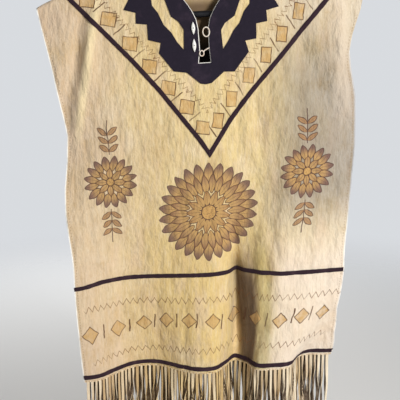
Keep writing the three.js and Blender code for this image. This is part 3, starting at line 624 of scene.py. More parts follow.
# The hand that drew the marks wavers by a few millimetres.
shaky = place.noise(42.0, output=1).parts()
drawn_s, drawn_t = ((shaky[k] - 0.5) * 7.0 + way for k, way in enumerate((s, t)))
drawn = wiring.node("ShaderNodeCombineXYZ", {0: drawn_s, 1: drawn_t})

# Centres of the marks on the pattern.
SQUARES_LEFT = [(-228, 83), (-188, 121), (-149, 171), (-114, 218), (-78, 262), (-43, 302), (-12, 346)]
SQUARES_RIGHT = [(222, 88), (190, 127), (154, 169), (121, 208), (85, 246), (48, 291), (18, 333)]
TICKS_LEFT = [(-245, 62), (-206, 97), (-169, 143), (-132, 191), (-95, 238), (-62, 280), (-28, 322)]
TICKS_RIGHT = [(209, 112), (173, 147), (138, 189), (104, 228), (65, 272), (34, 312), (5, 352)]
DIAMONDS = [(-286, 773), (-212, 774), (-152, 770), (-100, 762), (-47, 761), (7, 764), (62, 766),
            (114, 765), (180, 767), (227, 760), (279, 763)]
BARS = [(-249, 771), (-185, 774), (-128, 766), (-76, 761), (-29, 760), (28, 768), (88, 762), (149, 765),
        (207, 759), (248, 758)]
# The range of s and t that a colour which holds a centre runs over.
TABLE_START, TABLE_SPAN = (-350.0, 0.0, 0.0), (700.0, 900.0, 0.0)


def nearest_centre(centres, way):
    """Looks up the nearest centre of a row of marks: a stepped ramp along s or t whose colours hold
    centres."""
    shares = [((s0 - TABLE_START[0]) / TABLE_SPAN[0], (t0 - TABLE_START[1]) / TABLE_SPAN[1])
              for s0, t0 in sorted(centres, key=lambda centre: centre[way])]
    starts = [0.0] + [(a[way] + b[way]) / 2 for a, b in zip(shares, shares[1:])]
    stops = [(start, (*share, 0, 1)) for start, share in zip(starts, shares)]
    found = wiring.ramp(((s, t)[way] - TABLE_START[way]) / TABLE_SPAN[way], stops, "CONSTANT")
    return wiring.node("ShaderNodeVectorMath", {0: found, 1: TABLE_SPAN, 2: TABLE_START},
                       operation="MULTIPLY_ADD")


def box_row(centres, way, degrees, wide, tall, line):
    """The nearest box of a row that runs along s (way 0) or down t (way 1)."""
    return wiring.group(tooled_box, Point=drawn, Centre=nearest_centre(centres, way),
                        Turn=math.radians(degrees), Wide=wide, Tall=tall, Line=line)


squares_left = box_row(SQUARES_LEFT, 1, -10, 14.5, 13.0, 1.9)
squares_right = box_row(SQUARES_RIGHT, 1, -8, 10.0, 15.0, 1.9)
ticks_left = box_row(TICKS_LEFT, 1, 36, 15.0, 1.2, 0.6)
ticks_right = box_row(TICKS_RIGHT, 1, -60, 16.0, 1.2, 0.6)
diamond_size = s.band(-260, -130, 14.2, 11.6)
diamonds = box_row(DIAMONDS, 0, 45, diamond_size, diamond_size, 1.8)
bars = box_row(BARS, 0, -4, 1.6, 15.5, 0.6)

# Left of the centre line the V's marks are the left ones; both rows end above the V's point.
is_left, in_v, in_row = s.band(0.5, -0.5), t.band(372, 368), t.band(690, 694)
on_left, on_right = is_left * in_v, (1.0 - is_left) * in_v
fills = (squares_left["Fill"] * on_left) | (squares_right["Fill"] * on_right) | (diamonds["Fill"] * in_row)
lines = (((squares_left["Edge"] | ticks_left["Fill"]) * on_left)
         | ((squares_right["Edge"] | ticks_right["Fill"]) * on_right)
         | ((diamonds["Edge"] | bars["Fill"]) * in_row))


def zigzag(along, off, pitch, height, line):
    return wiring.group(tooled_zigzag, Along=along, Off=off, Pitch=pitch, Height=height, Line=line)["Edge"]


# Zigzags: two level ones above the hem, and one along each side of the V, beside the yoke.
rough = (place.noise(110.0) - 0.5) * 9.0
level_zigzags = (zigzag(drawn_s, drawn_t - 717.0, 15.6, 6.5, 1.3)
                 | zigzag(drawn_s, drawn_t - (s * -0.03 + 827.0), 15.6, 6.5, 1.3))
side_s = abs(s + 2.0)
v_zigzag = zigzag(side_s * 0.66 - drawn_t * 0.75 + rough, side_s * 0.75 + drawn_t * 0.66 + rough - 205.0,
                  11.5, 5.2, 1.1)
zigzags = (level_zigzags * abs(s - 8).band(305, 295)) | (v_zigzag * t.band(330, 326))

# The sun and the rounds: the design is the same on both sides of the sun's centre line, and the sprigs
# stand above and below each round.
sun_x, sun_y = drawn_s + 4.0, drawn_t - 524.0
round_x, round_y = abs(sun_x) - 205.0, drawn_t - 448.0
burnt, tan_fill = tint(78, 48, 44), tint(202, 158, 96)
colour = hide
for x, y, count, shift, inner, length, reach, tip_tint in (
        (sun_x, sun_y, 26.0, 0.0, 66.0, 40.0, 9.8, tint(118, 84, 76)),
        (sun_x, sun_y, 26.0, 0.5, 40.0, 42.0, 7.4, tint(168, 126, 86)),
        (sun_x, sun_y, 13.0, 0.0, 13.0, 34.0, 7.6, tint(186, 140, 86)),
        (round_x, round_y, 16.0, 0.0, 24.0, 32.0, 7.6, tint(126, 90, 78)),
        (round_x, round_y, 8.0, 0.5, 7.0, 24.0, 6.6, tint(186, 142, 90))):
    leaf = wiring.group(petal_ring, X=x, Y=y, Count=count, Shift=shift, Inner=inner, Length=length,
                        Reach=reach)
    petal = wiring.mix(leaf["Tip"].band(0.25, 0.85), tan_fill, tip_tint)
    petal = wiring.mix(leaf["Vein"] * 0.55, petal, burnt)
    colour = wiring.mix(leaf["Fill"] * 0.9, colour, petal)
    colour = wiring.mix(leaf["Edge"] * 0.95, colour, burnt)

# Sprigs: three pairs of leaves on a stem, each leaf turned 53 degrees out from it.
LEAF_PITCH, LEAF_COS, LEAF_SIN = 17.0, 0.6, 0.8
leaf_x, leaf_y = abs(round_x), abs(round_y) - 64.0
leaf_cell = wiring.math("FRACT", leaf_y / LEAF_PITCH) * LEAF_PITCH
leaf_on = leaf_y.band(-0.4, 0.4) * leaf_y.band(51.4, 50.6)
sprig = wiring.group(tooled_leaf, Along=leaf_x * LEAF_SIN + leaf_cell * LEAF_COS,
                     Off=leaf_x * LEAF_COS - leaf_cell * LEAF_SIN, Length=25.0, Reach=5.0)
stem = leaf_x.band(0.5, 1.4, 1.0, 0.0) * leaf_y.band(-6, -5) * leaf_y.band(66.5, 65.5)
sprig_fill = wiring.mix(sprig["Vein"] * 0.5, tint(180, 132, 82), burnt)
colour = wiring.mix(sprig["Fill"] * leaf_on * 0.8, colour, sprig_fill)
colour = wiring.mix(((sprig["Edge"] * leaf_on) | stem) * 0.9, colour, burnt)

# The middles of the sun and the rounds are stippled spots with a burnt rim.
stipple = wiring.node("ShaderNodeTexVoronoi", {"Vector": drawn, "Scale": 0.36}).band(0.22, 0.4, 1.0, 0.0)
spotted = wiring.mix(stipple * 0.6, tan_fill, burnt)
for x, y, radius in ((sun_x, sun_y, 15.0), (round_x, round_y, 8.5)):
    off = wiring.math("SQRT", x * x + y * y) - radius
    colour = wiring.mix(off.band(-0.4, 0.4, 1.0, 0.0), colour, spotted)
    colour = wiring.mix(abs(off).band(0.3, 1.3, 1.0, 0.0), colour, burnt)

# The traditional marks: an orange tan tint inside burnt outlines, stronger here and weaker there.
pressure = place.noise(30.0, 3.0).band(0.25, 0.6, 0.45, 1.0)
patchy = place.noise(75.0, 3.0).band(0.3, 0.7, 0.5, 0.95)
colour = wiring.mix(fills * patchy, colour, tint(206, 164, 102))
colour = wiring.mix(lines * pressure * 0.97, colour, tint(94, 60, 32))
colour = wiring.mix(zigzags * pressure * 0.95, colour, tint(126, 84, 44))
# Stitches of the side seams, in from the raw edge.
STITCH_INSET, STITCH_PITCH = 6.5, 6.0
stitches = abs(edge - STITCH_INSET).band(0.5, 1.0, 1.0, 0.0)
stitches *= wiring.math("PINGPONG", t / STITCH_PITCH, 0.5).band(0.2, 0.3) * t.band(130, 150, 0.0, 0.55)
colour = wiring.mix(stitches, colour, tint(150, 116, 80))
finish_hide(wiring, front_shader, colour, nap_height - (lines | stitches | zigzags) * 0.5, place=place)

# The back's outside has the same hide without marks. The flesh side is darkened browner as painted
# shade, with more painted shade under the hanger's bar and a near-black painted shadow behind the slit's
# foot.
plain_hide, plain_shader, wiring = new_material("plain_hide", 0.94, 0.15)
hide, nap_height, *_, place = hide_base(wiring)
finish_hide(wiring, plain_shader, hide, nap_height, place=place)
flesh_side, flesh_shader, wiring = new_material("flesh_side", 0.95, 0.1)
hide, nap_height, s, t, *_ = hide_base(wiring)
# Painted shade: the whole flesh side is darkened browner.
hide = wiring.mix(0.45, hide, tint(140, 108, 68))
# More painted shade under the hanger's bar.
under_bar_painted_shade = abs(s).band(80, 45, 0.0, 0.8) * t.band(82, 104) * t.band(290, 240)
hide = wiring.mix(under_bar_painted_shade, hide, tint(96, 72, 52))
# A near-black painted shadow behind the slit's foot.
slit_foot_painted_shade = abs(s).band(34, 18) * t.band(150, 196) * t.band(262, 232)
hide = wiring.mix(slit_foot_painted_shade * 0.93, hide, tint(26, 20, 22))
finish_hide(wiring, flesh_shader, hide, nap_height)


def hide_panel(name, s, t, face, neck, slit_end):
    """One panel as a wall HIDE thick, open in its middle column above slit_end, with marks on the outside
    only."""
    middle_column = s.shape[1] // 2 - 1
    keep = np.ones((s.shape[0] - 1, s.shape[1] - 1), bool)
    keep[:, middle_column] = t[:-1, middle_column] > slit_end - 0.5
    points, faces = closed_wall(hung(s, t, face), hung(s, t, face, -HIDE), keep)
    cut = distance_to_cut(s, t, *neck, slit_end)
    pattern = np.tile(np.stack([s, t, cut], -1).reshape(-1, 3), (2, 1))
    inside = np.zeros(len(faces), int)
    inside[keep.sum():2 * keep.sum()] = 1
    materials = [front_hide if face > 0 else plain_hide, flesh_side]
    return add_piece(name, points, faces[:, ::face], materials, pattern, which=inside)


def flat_area(s, t):
    """Square metres of the flat cut: the sum of its pattern cells."""
    wide = (s[:-1, 1:] - s[:-1, :-1] + s[1:, 1:] - s[1:, :-1]) / 2
    tall = (t[1:, :-1] - t[:-1, :-1] + t[1:, 1:] - t[:-1, 1:]) / 2
    return float((wide * tall).sum()) * MM**2


front_neck = (NECK_T, NECK_LEFT, NECK_RIGHT)
front_s, front_t = pattern_grid(*front_neck, SLIT_END, 110, 7, 72, 128)
front_panel = hide_panel("front_hide_panel", front_s, front_t, 1, front_neck, SLIT_END)
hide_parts("front_panel")

# ---------- back panel ----------
# The front's twin in the same buckskin, without tooling. Its neck is a shallow scoop, and it is joined to the
# front at the shoulders and, raw edges outside, down the sides below the armholes.
BACK_NECK_END = 42.0
back_neck = (np.array([14, 24, 32, 37, BACK_NECK_END]), np.array([-82, -64, -46, -26, -7.0]),
             np.array([82, 64, 46, 26, 7.0]))
back_s, back_t = pattern_grid(*back_neck, BACK_NECK_END, 72, 7, 70, 96)
back_panel = hide_panel("back_hide_panel", back_s, back_t, -1, back_neck, BACK_NECK_END)
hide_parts("back_panel")

# ---------- yoke ----------
# A dark suede applique with a stepped edge round the neck and the slit. Two slashes show the buckskin. It
# is cut flat in one piece and sewn on, a little in from the neck's own edge.
YOKE_LEFT = [(-150, 60), (-146, 87), (-157, 105), (-133, 112), (-134, 133), (-112, 136), (-112, 166),
             (-87, 173), (-92, 193), (-65, 230), (-39, 234), (-13, 257), (-2, 259)]
YOKE_RIGHT = [(10, 257), (36, 236), (57, 237), (87, 200), (81, 178), (103, 175), (104, 146), (126, 143),
              (125, 122), (150, 116), (143, 103), (147, 60)]
SLASH_LEFT = [(-92, 64), (-101, 89), (-100, 100), (-89, 115), (-79, 139), (-65, 154), (-54, 174),
              (-42, 189), (-40, 150), (-50, 134), (-64, 123), (-74, 91)]
SLASH_RIGHT = [(84, 66), (74, 99), (62, 129), (42, 142), (34, 155), (36, 192), (48, 175), (59, 156),
               (71, 143), (81, 121), (93, 107), (94, 92)]
TRIM = 1.5


def dark_suede(name, colour, worn):
    """Brushed suede in one dark colour that wears a little paler."""
    material, shader, wiring = new_material(name, 0.96, 0.35)
    shader.inputs["Sheen Roughness"].default_value = 0.5
    shader.inputs["Sheen Tint"].default_value = worn
    place = wiring.place()
    nap = wiring.group(brushed_nap, Place=place, Fibre=1000.0, Strength=0.9)
    rubbed = place.noise(26.0, 4.0, 0.6).band(0.5, 0.8, 0.0, 0.5)
    finish_hide(wiring, shader, wiring.mix(rubbed, colour, worn).times(nap["Tone"]), nap["Height"], 0.4)
    return material


def resampled(loop, spacing):
    """Points along a closed loop, none further apart than spacing, with the loop's own corners kept."""
    points = []
    for p, q in zip(loop, loop[1:] + loop[:1]):
        count = max(1, math.ceil(math.dist(p, q) / spacing))
        points += [tuple(np.array(p) + (np.array(q) - p) * k / count) for k in range(count)]
    return points


def inside_loop(s, t, loop):
    """Even-odd test of many points against a closed loop."""
    crossed = np.zeros(np.shape(s), bool)
    for (s0, t0), (s1, t1) in zip(loop, loop[1:] + loop[:1]):
        spans = (t0 > t) != (t1 > t)
        crossed ^= spans & (s < (s1 - s0) * (t - t0) / (t1 - t0 if t1 != t0 else 1) + s0)
    return crossed


def applique(name, outline, holes, material, spacing=4.0):
    """A flat-cut piece on the front: a constrained triangle net over its outline and an inner grid of points,
    carried to the hung shape at two heights and closed along its cut edges."""
    loops = [resampled(loop, spacing) for loop in [outline, *holes]]
    points = [p for loop in loops for p in loop]
    edges, start = [], 0
    for loop in loops:
        edges += [(start + k, start + (k + 1) % len(loop)) for k in range(len(loop))]
        start += len(loop)
    rim = np.array(points)
    low, high = rim.min(0), rim.max(0)
    grid_s, grid_t = (g.ravel() for g in np.meshgrid(np.arange(low[0], high[0], spacing),
                                                     np.arange(low[1], high[1], spacing)))
    clear = np.min(np.hypot(grid_s[:, None] - rim[:, 0], grid_t[:, None] - rim[:, 1]), axis=1) > spacing * 0.6
    inner = inside_loop(grid_s, grid_t, outline) & clear
    for hole in holes:
        inner &= ~inside_loop(grid_s, grid_t, hole)
    points += list(zip(grid_s[inner], grid_t[inner]))
    flat, _, triangles, *_ = delaunay_2d_cdt([(float(a), -float(b)) for a, b in points], edges, [], 0, 1e-4)
    flat, triangles = np.array([tuple(p) for p in flat]), np.array([tuple(f) for f in triangles])
    s, t = flat[:, 0], -flat[:, 1]
    centre_s, centre_t = s[triangles].mean(1), t[triangles].mean(1)
    keep = inside_loop(centre_s, centre_t, outline)
    for hole in holes:
        keep &= ~inside_loop(centre_s, centre_t, hole)
    triangles = triangles[keep]
    one_way = np.concatenate([triangles[:, [0, 1]], triangles[:, [1, 2]], triangles[:, [2, 0]]])
    n = len(flat)
    alone = ~np.isin(one_way[:, 0] * n + one_way[:, 1], one_way[:, 1] * n + one_way[:, 0])
    p, q = one_way[alone].T
    rim_faces = np.stack([q, p, p + n, q + n], -1)
    faces = triangles.tolist() + (triangles[:, ::-1] + n).tolist() + rim_faces.tolist()
    top, bottom = hung(s, t, 1, SEAM_GAP + TRIM), hung(s, t, 1, SEAM_GAP)
    piece = add_piece(name, np.concatenate([top, bottom]), faces, [material])
    round_edges(piece)
    return piece


def round_edges(piece, width=0.4):
    """Rounds a piece's cut edges by width in millimetres."""
    bevel = piece.modifiers.new("rounded_cut", "BEVEL")
    bevel.limit_method, bevel.angle_limit = "ANGLE", SHARP
    bevel.width, bevel.segments = width * MM, 2


def along_seam(start, end):
    """Pattern points on the front, just below the shoulder seam, from one s to another."""
    return [(float(s), float(shoulder_t(s)) + SEAM_GAP) for s in np.linspace(start, end, 12)]


NECK_INSET = 1.4
neck_right = [(float(s) + NECK_INSET, float(t)) for t, s in zip(NECK_T[1:], NECK_RIGHT[1:])]
neck_left = [(float(s) - NECK_INSET, float(t)) for t, s in zip(NECK_T[:0:-1], NECK_LEFT[:0:-1])]
neck_right[-1] = (neck_right[-1][0], SLIT_END + NECK_INSET)
neck_left[0] = (neck_left[0][0], SLIT_END + NECK_INSET)
yoke_outline = [*YOKE_LEFT, *YOKE_RIGHT, *along_seam(149, 82), *neck_right, *neck_left,
                *along_seam(-82, -151)]
yoke_suede = dark_suede("yoke_suede", tint(36, 30, 42), tint(70, 56, 70))
yoke = applique("yoke_applique_suede", yoke_outline, [SLASH_LEFT, SLASH_RIGHT], yoke_suede)
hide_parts("yoke_applique")

# ---------- V strips, waist strip and hem strip ----------
# Narrow strips of dark suede, cut by hand and laid on the front: two from the shoulders to a mitred point at
# mid chest, one across below the breast, and one above the fringe. Their edges wander a little.
STRIP_WIDTH, STRIP_STEP, OVERHANG = 9.0, 3.2, 0.6
WANDER, WANDER_STEP = 0.09, 6.0
V_LEFT = [(-290, 47), (-255, 86), (-191, 155), (-146, 205), (-96, 266), (-20, 371), (-2.15, 400)]
V_RIGHT = [(-1.85, 400), (44, 332), (88, 279), (147, 216), (200, 157), (241, 113), (300, 50)]
WAIST = [(-330, 668), (-290, 666), (-240, 661), (60, 661), (170, 664), (330, 664)]
HEM = [(-340, 866), (0, 866), (370, 866)]
strip_suede = dark_suede("strip_suede", tint(50, 34, 42), tint(92, 68, 74))


def strip(name, path, seed, mitre_start=False, mitre_end=False):
    """A strip along a path of pattern points: lanes beside the path, each cut off at the shoulder seam,
    with a mitred end where two strips meet. Its top is slightly domed."""
    random = np.random.default_rng(seed)
    path = np.array(path, float)
    way = np.diff(path, axis=0)
    length = np.concatenate([[0], np.cumsum(np.hypot(*way.T))])
    along = np.linspace(0, length[-1], int(length[-1] / STRIP_STEP))
    centre = np.stack([np.interp(along, length, path[:, k]) for k in (0, 1)], -1)
    way = np.gradient(centre, axis=0)
    way = np.stack([np.convolve(np.pad(way[:, k], 3, "edge"), np.ones(7) / 7, "valid") for k in (0, 1)], -1)
    way /= np.hypot(*way.T)[:, None]
    side = np.stack([-way[:, 1], way[:, 0]], -1)
    lanes = np.array([-1, -0.86, -0.4, 0, 0.4, 0.86, 1.0])
    knots = np.arange(0, length[-1] + 2 * WANDER_STEP, WANDER_STEP)
    edge = 1 + WANDER * np.interp(along, knots, random.uniform(-1, 1, len(knots)))
    lane = centre[None] + lanes[:, None, None] * side[None] * (STRIP_WIDTH / 2 * edge)[None, :, None]
    mitre = -side[:, 0] / way[:, 0] * STRIP_WIDTH / 2
    near_start, near_end = np.exp(-along / 4), np.exp((along - length[-1]) / 4)
    shift = mitre * (mitre_start * near_start + mitre_end * near_end)
    lane += lanes[:, None, None] * (way * shift[:, None])[None]
    s, t = lane[..., 0], lane[..., 1]
    # Each lane starts and ends where it meets the seam or the side edge.
    left, right = np.interp(t, EDGE_T, EDGE_LEFT), np.interp(t, EDGE_T, EDGE_RIGHT)
    on = (t > shoulder_t(s) + SEAM_GAP) & (s > left - OVERHANG) & (s < right + OVERHANG)
    first, last = on.argmax(1), on.shape[1] - 1 - on[:, ::-1].argmax(1)
    where = first[:, None] + (last - first)[:, None] * np.linspace(0, 1, s.shape[1])[None, :]
    s, t = (np.stack([np.interp(w, np.arange(len(row)), row) for w, row in zip(where, grid)])
            for grid in (s, t))
    dome = TRIM + np.array([-0.5, -0.1, 0, 0.1, 0, -0.1, -0.5])[:, None]
    top, bottom = hung(s, t, 1, SEAM_GAP + dome + 0 * s), hung(s, t, 1, SEAM_GAP + 0 * s)
    points, faces = closed_wall(top, bottom, np.ones((s.shape[0] - 1, s.shape[1] - 1), bool))
    piece = add_piece(name, points, faces, [strip_suede])
    return piece


v_left = strip("v_strip_left_suede", V_LEFT, 3, mitre_end=True)
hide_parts("v_strip_left")
v_right = strip("v_strip_right_suede", V_RIGHT, 4, mitre_start=True)
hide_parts("v_strip_right")
waist = strip("waist_strip_suede", WAIST, 5)
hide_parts("waist_strip")
hem = strip("hem_strip_suede", HEM, 6)
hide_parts("hem_strip")

# ---------- fringes ----------
# Each hem carries one band of the same hide, cut into thongs up to 150 mm long that are twisted by hand and
# hang freely.
THONGS, THONG_LENGTH, THONG_THICKNESS, THONG_RINGS = 72, 150.0, 1.4, 18
THONG_WIDTH, THONG_TAPER = {1: 5.6, -1: 8.9}, {1: 0.2, -1: 0.04}  # at the front, 1, and at the back, -1
BAND_HEIGHT, BAND_MARGIN, BAND_INSET, BAND_COLUMNS = 2.4, 3.0, 4.5, 160
UNCUT = 20  # the edge distance of points that have no raw edge near
fringe_hide, fringe_shader, wiring = new_material("fringe_hide", 0.93, 0.1)
hide, nap_height, s, _, _, place = hide_base(wiring)
thong_tone = wiring.node("ShaderNodeCombineXYZ", {0: s}).noise(0.31, 0.0)
for low, high, shade in ((0.4, 0.65, tint(200, 166, 112)), (0.55, 0.42, tint(246, 230, 200))):
    hide = wiring.mix(thong_tone.band(low, high, 0.0, 0.6), hide, shade)
soiled = place.drawn_out(0.1).noise(90.0, 3.0).band(0.45, 0.75, 0.0, 0.5)
finish_hide(wiring, fringe_shader, wiring.mix(soiled, hide, tint(150, 112, 66)), nap_height)
# A darker copy of the hide, as painted shade on the thongs' inward sides and in the gaps between them.
painted_shade_hide, painted_shade_shader, wiring = new_material("painted_shade_flesh", 0.95, 0.05)
hide, nap_height, *_, place = hide_base(wiring)
painted_shade_share = place.noise(120.0, 3.0).band(0.3, 0.7, 0.8, 0.97)
finish_hide(wiring, painted_shade_shader, wiring.mix(painted_shade_share, hide, tint(66, 46, 32)), nap_height)


def fringe(name, face, seed):
    """A band of hide with thongs: each thong is a ribbon of four-cornered rings whose centre sways down a
    sine and whose width turns about the vertical on the way down."""
    random = np.random.default_rng(seed)
    left, right = EDGE_LEFT[-1] + BAND_INSET, EDGE_RIGHT[-1] - BAND_INSET
    top = HEM_T + 2 * SEAM_GAP
    band_s = np.linspace(left - BAND_MARGIN, right + BAND_MARGIN, BAND_COLUMNS)[None, :]
    band_t = np.linspace(top, top + BAND_HEIGHT, 3)[:, None]
    band_s, band_t = np.broadcast_arrays(band_s, band_t)
    keep = np.ones((2, BAND_COLUMNS - 1), bool)
    points, faces = closed_wall(hung(band_s, band_t, face), hung(band_s, band_t, face, -HIDE), keep)
    pattern = np.tile(np.stack([band_s, band_t, 0 * band_s + UNCUT], -1).reshape(-1, 3), (2, 1))
    root_s = left + (right - left) * (np.arange(THONGS) + 0.5) / THONGS
    root_t = top + BAND_HEIGHT / 2
    root = hung(root_s, root_t, face, -HIDE / 2)
    tangent = hung(root_s + 2, root_t, face) - hung(root_s - 2, root_t, face)
    tangent[:, 2] = 0
    tangent /= np.linalg.norm(tangent, axis=1)[:, None]
    out = np.stack([tangent[:, 1], -tangent[:, 0], 0 * tangent[:, 0]], -1) * face
    # Length, lean, sway and twist of each thong, down its rings.
    u, each = np.linspace(0, 1, THONG_RINGS)[None, :], (THONGS, 1)
    length = THONG_LENGTH * (1 - 0.1 * random.random(each))
    lean = (0.5 + 3.5 * random.random(each)) * u**1.4
    gathered = 2.6 * np.sin(root_s / 9.0 + 1.9 * np.sin(root_s / 31.0))[:, None] * (face + 1) / 2
    gathered = gathered + (random.random(each) - 0.5) * 3.4
    waves = u * random.uniform(0.7, 1.8, each) + random.random(each)
    sway = u * (gathered + 2.1 * np.sin(2 * np.pi * waves))
    full = random.choice([0.35, 0.8, 1.3, 2.4], each, p=[0.2, 0.25, 0.3, 0.25]) * random.choice([-1, 1], each)
    full *= 1 if face > 0 else 0.2
    turn = full * np.pi * (0.55 * u + 0.45 * eased((u - random.uniform(0, 0.5, each)) / 0.5))
    turn += 0.35 * u * np.sin(2 * np.pi * (1.5 * u + random.random(each)))
    turn *= np.minimum(1, u * 8)
    centre = root[:, None] + lean[..., None] * out[:, None] + sway[..., None] * tangent[:, None]
    centre[..., 2] -= length * u
    beside = np.stack([-tangent[:, 1], tangent[:, 0], 0 * tangent[:, 0]], -1)
    wide = np.cos(turn)[..., None] * tangent[:, None] + np.sin(turn)[..., None] * beside[:, None]
    thick = np.stack([wide[..., 1], -wide[..., 0], 0 * wide[..., 0]], -1)
    half = THONG_WIDTH[face] / 2 * (1 - THONG_TAPER[face] * u)[..., None]
    half = half * (random.uniform(0.75, 1.2, (*each, 1)) if face > 0 else 1)
    corners = np.stack([centre + a * half * wide + b * THONG_THICKNESS / 2 * thick
                        for a, b in ((1, -1), (-1, -1), (-1, 1), (1, 1))], 2)
    ring = np.arange(THONGS * THONG_RINGS * 4).reshape(THONGS, THONG_RINGS, 4) + len(points)
    turned = np.roll(ring, -1, axis=2)
    sides = np.stack([ring[:, :-1], ring[:, 1:], turned[:, 1:], turned[:, :-1]], -1).reshape(-1, 4)
    # The painted-shade copy of the hide is on the side of each thong that faces the inside of the poncho.
    which = np.concatenate([np.zeros(len(faces)), np.tile(np.arange(4), len(sides) // 4) == 1 - face,
                            np.zeros(2 * THONGS)])
    faces = np.concatenate([faces[:, ::face], sides, ring[:, 0], ring[:, -1, ::-1]])
    down = np.stack(np.broadcast_arrays(root_s[:, None], root_t + length * u, float(UNCUT)), -1)
    thong_pattern = np.broadcast_to(down[:, :, None], (*ring.shape, 3)).reshape(-1, 3)
    piece = add_piece(name, np.concatenate([points, corners.reshape(-1, 3)]), faces,
                      [fringe_hide, painted_shade_hide], np.concatenate([pattern, thong_pattern]), which=which)
    return piece


front_fringe = fringe("front_fringe_thongs", 1, 7)
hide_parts("front_fringe")
back_fringe = fringe("back_fringe_thongs", -1, 19)
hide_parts("back_fringe")

# ---------- toggles ----------
# Two bone toggles, pointed at both ends and flattened, tied through the middle to the slit's left edge. The
# bone is dirty in the groove that takes the tie.
ON_YOKE = SEAM_GAP + TRIM + SEAM_GAP
LIFT = 0.2  # air between the yoke and a toggle or a loop
TOGGLE_S, TOGGLE_WIDTH, TOGGLE_THICKNESS, TOGGLE_POWER = -21, 8.0, 4.6, 1.7
GROOVE_DEPTH, GROOVE_REACH = 0.07, 1.1
bone, bone_shader, wiring = new_material("bone", 0.42)
bone_shader.inputs["Coat Weight"].default_value = 0.15
from_tie = wiring.node("ShaderNodeVectorMath", {0: wiring.pattern()}, 1, operation="LENGTH")
pores = wiring.place().drawn_out(0.15).noise(1400.0, 3.0)
ivory = wiring.mix(pores.band(0.45, 0.7, 0.0, 0.5), tint(248, 246, 240), tint(222, 212, 192))
ivory = wiring.mix(from_tie.band(0.9, 1.7, 0.85, 0.0), ivory, tint(110, 102, 96))
finish_hide(wiring, bone_shader, ivory, pores, 0.15)


def directions(s, t):
    """Unit vectors on the front at a pattern point: across, down and out."""
    wide = hung(s + 3, t, 1) - hung(s - 3, t, 1)
    out = hung(s, t, 1, 1) - hung(s, t, 1)
    wide, out = wide / np.linalg.norm(wide), out / np.linalg.norm(out)
    down = np.cross(out, wide)
    return wide, down / np.linalg.norm(down), out


def ring_numbers(rings):
    """Vertex numbers of a stack of rings, and of each vertex's neighbour in its ring."""
    index = np.arange(rings.shape[0] * rings.shape[1]).reshape(rings.shape[:2])
    return index, np.roll(index, -1, axis=1)


def toggle(name, s, t, length):
    """A bead whose half width is one less a power of the share along it, pinched by a tie groove."""
    share = np.sin(np.linspace(-np.pi / 2, np.pi / 2, 33))
    radius = 1 - np.abs(share) ** TOGGLE_POWER
    radius *= 1 - GROOVE_DEPTH * np.exp(-((share * length / 2 / GROOVE_REACH) ** 2))
    angle = np.linspace(0, 2 * np.pi, 28, endpoint=False)
    wide, down, out = directions(s, t)
    centre = hung(s, t, 1, ON_YOKE + TOGGLE_THICKNESS / 2 + LIFT)
    rings = (centre + np.cos(angle)[None, :, None] * (radius * TOGGLE_WIDTH / 2)[:, None, None] * wide
             + np.sin(angle)[None, :, None] * (radius * TOGGLE_THICKNESS / 2)[:, None, None] * out
             + (share * length / 2)[:, None, None] * down)[1:-1]
    index, beside = ring_numbers(rings)
    quads = np.stack([index[:-1], beside[:-1], beside[1:], index[1:]], -1).reshape(-1, 4).tolist()
    caps = [[index.size, int(b), int(a)] for a, b in zip(index[0], beside[0])]
    caps += [[index.size + 1, int(a), int(b)] for a, b in zip(index[-1], beside[-1])]
    ends = np.stack([centre - down * length / 2, centre + down * length / 2])
    along = np.concatenate([np.repeat(share[1:-1] * length / 2, len(angle)), [-length / 2, length / 2]])
    across_bead = np.concatenate([(radius[1:-1, None] * np.cos(angle)).ravel() * TOGGLE_WIDTH / 2, [0, 0]])
    piece = add_piece(name, np.concatenate([rings.reshape(-1, 3), ends]), quads + caps, [bone],
                      np.stack([across_bead, along, 0 * along], -1))
    return piece


upper_toggle = toggle("toggle_upper_bone", TOGGLE_S, 148.5, 25)
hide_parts("toggle_upper")
lower_toggle = toggle("toggle_lower_bone", TOGGLE_S, 182, 26)
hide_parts("toggle_lower")

# ---------- loops ----------
# Two loops of twisted rawhide cord on the slit's right edge, for the toggles. Both lie on the yoke, and the
# lower one ends in a stem.
CORD_RADIUS, PLY, LAY = 1.35, 0.14, 4.5
ON_YOKE_CORD = ON_YOKE + CORD_RADIUS + LIFT  # height of the cord's middle
rawhide, rawhide_shader, wiring = new_material("rawhide", 0.7)
place = wiring.place()
nap = wiring.group(brushed_nap, Place=place, Fibre=1500.0, Strength=0.5)
pale = wiring.mix(place.noise(300.0, 3.0).band(0.4, 0.7), tint(244, 232, 216), tint(222, 196, 172))
finish_hide(wiring, rawhide_shader, pale.times(nap["Tone"]), nap["Height"], 0.4)


def smooth_path(points, per_span, closed=False):
    """Centripetal Catmull-Rom curve: each span is a cubic through its two points, whose end slopes come
    from the neighbours weighted by the square roots of the spans' lengths."""
    points = np.array(points, float)
    if closed:
        knots = np.concatenate([points[-1:], points, points[:2]])
    else:
        knots = np.concatenate([[2 * points[0] - points[1]], points, [2 * points[-1] - points[-2]]])
    p0, p1, p2, p3 = knots[:-3], knots[1:-2], knots[2:-1], knots[3:]
    d0, d1, d2 = (np.linalg.norm(b - a, axis=1)[:, None] ** 0.5 for a, b in ((p0, p1), (p1, p2), (p2, p3)))
    m1 = ((p1 - p0) / d0 - (p2 - p0) / (d0 + d1) + (p2 - p1) / d1) * d1
    m2 = ((p2 - p1) / d1 - (p3 - p1) / (d1 + d2) + (p3 - p2) / d2) * d1
    u = np.linspace(0, 1, per_span, endpoint=False)[None, :, None]
    p1, p2, m1, m2 = (a[:, None] for a in (p1, p2, m1, m2))
    ease = 3 * u**2 - 2 * u**3
    curve = (1 - ease) * p1 + (u**3 - 2 * u**2 + u) * m1 + ease * p2 + (u**3 - u**2) * m2
    curve = curve.reshape(-1, 3)
    return curve if closed else np.vstack([curve, points[-1]])


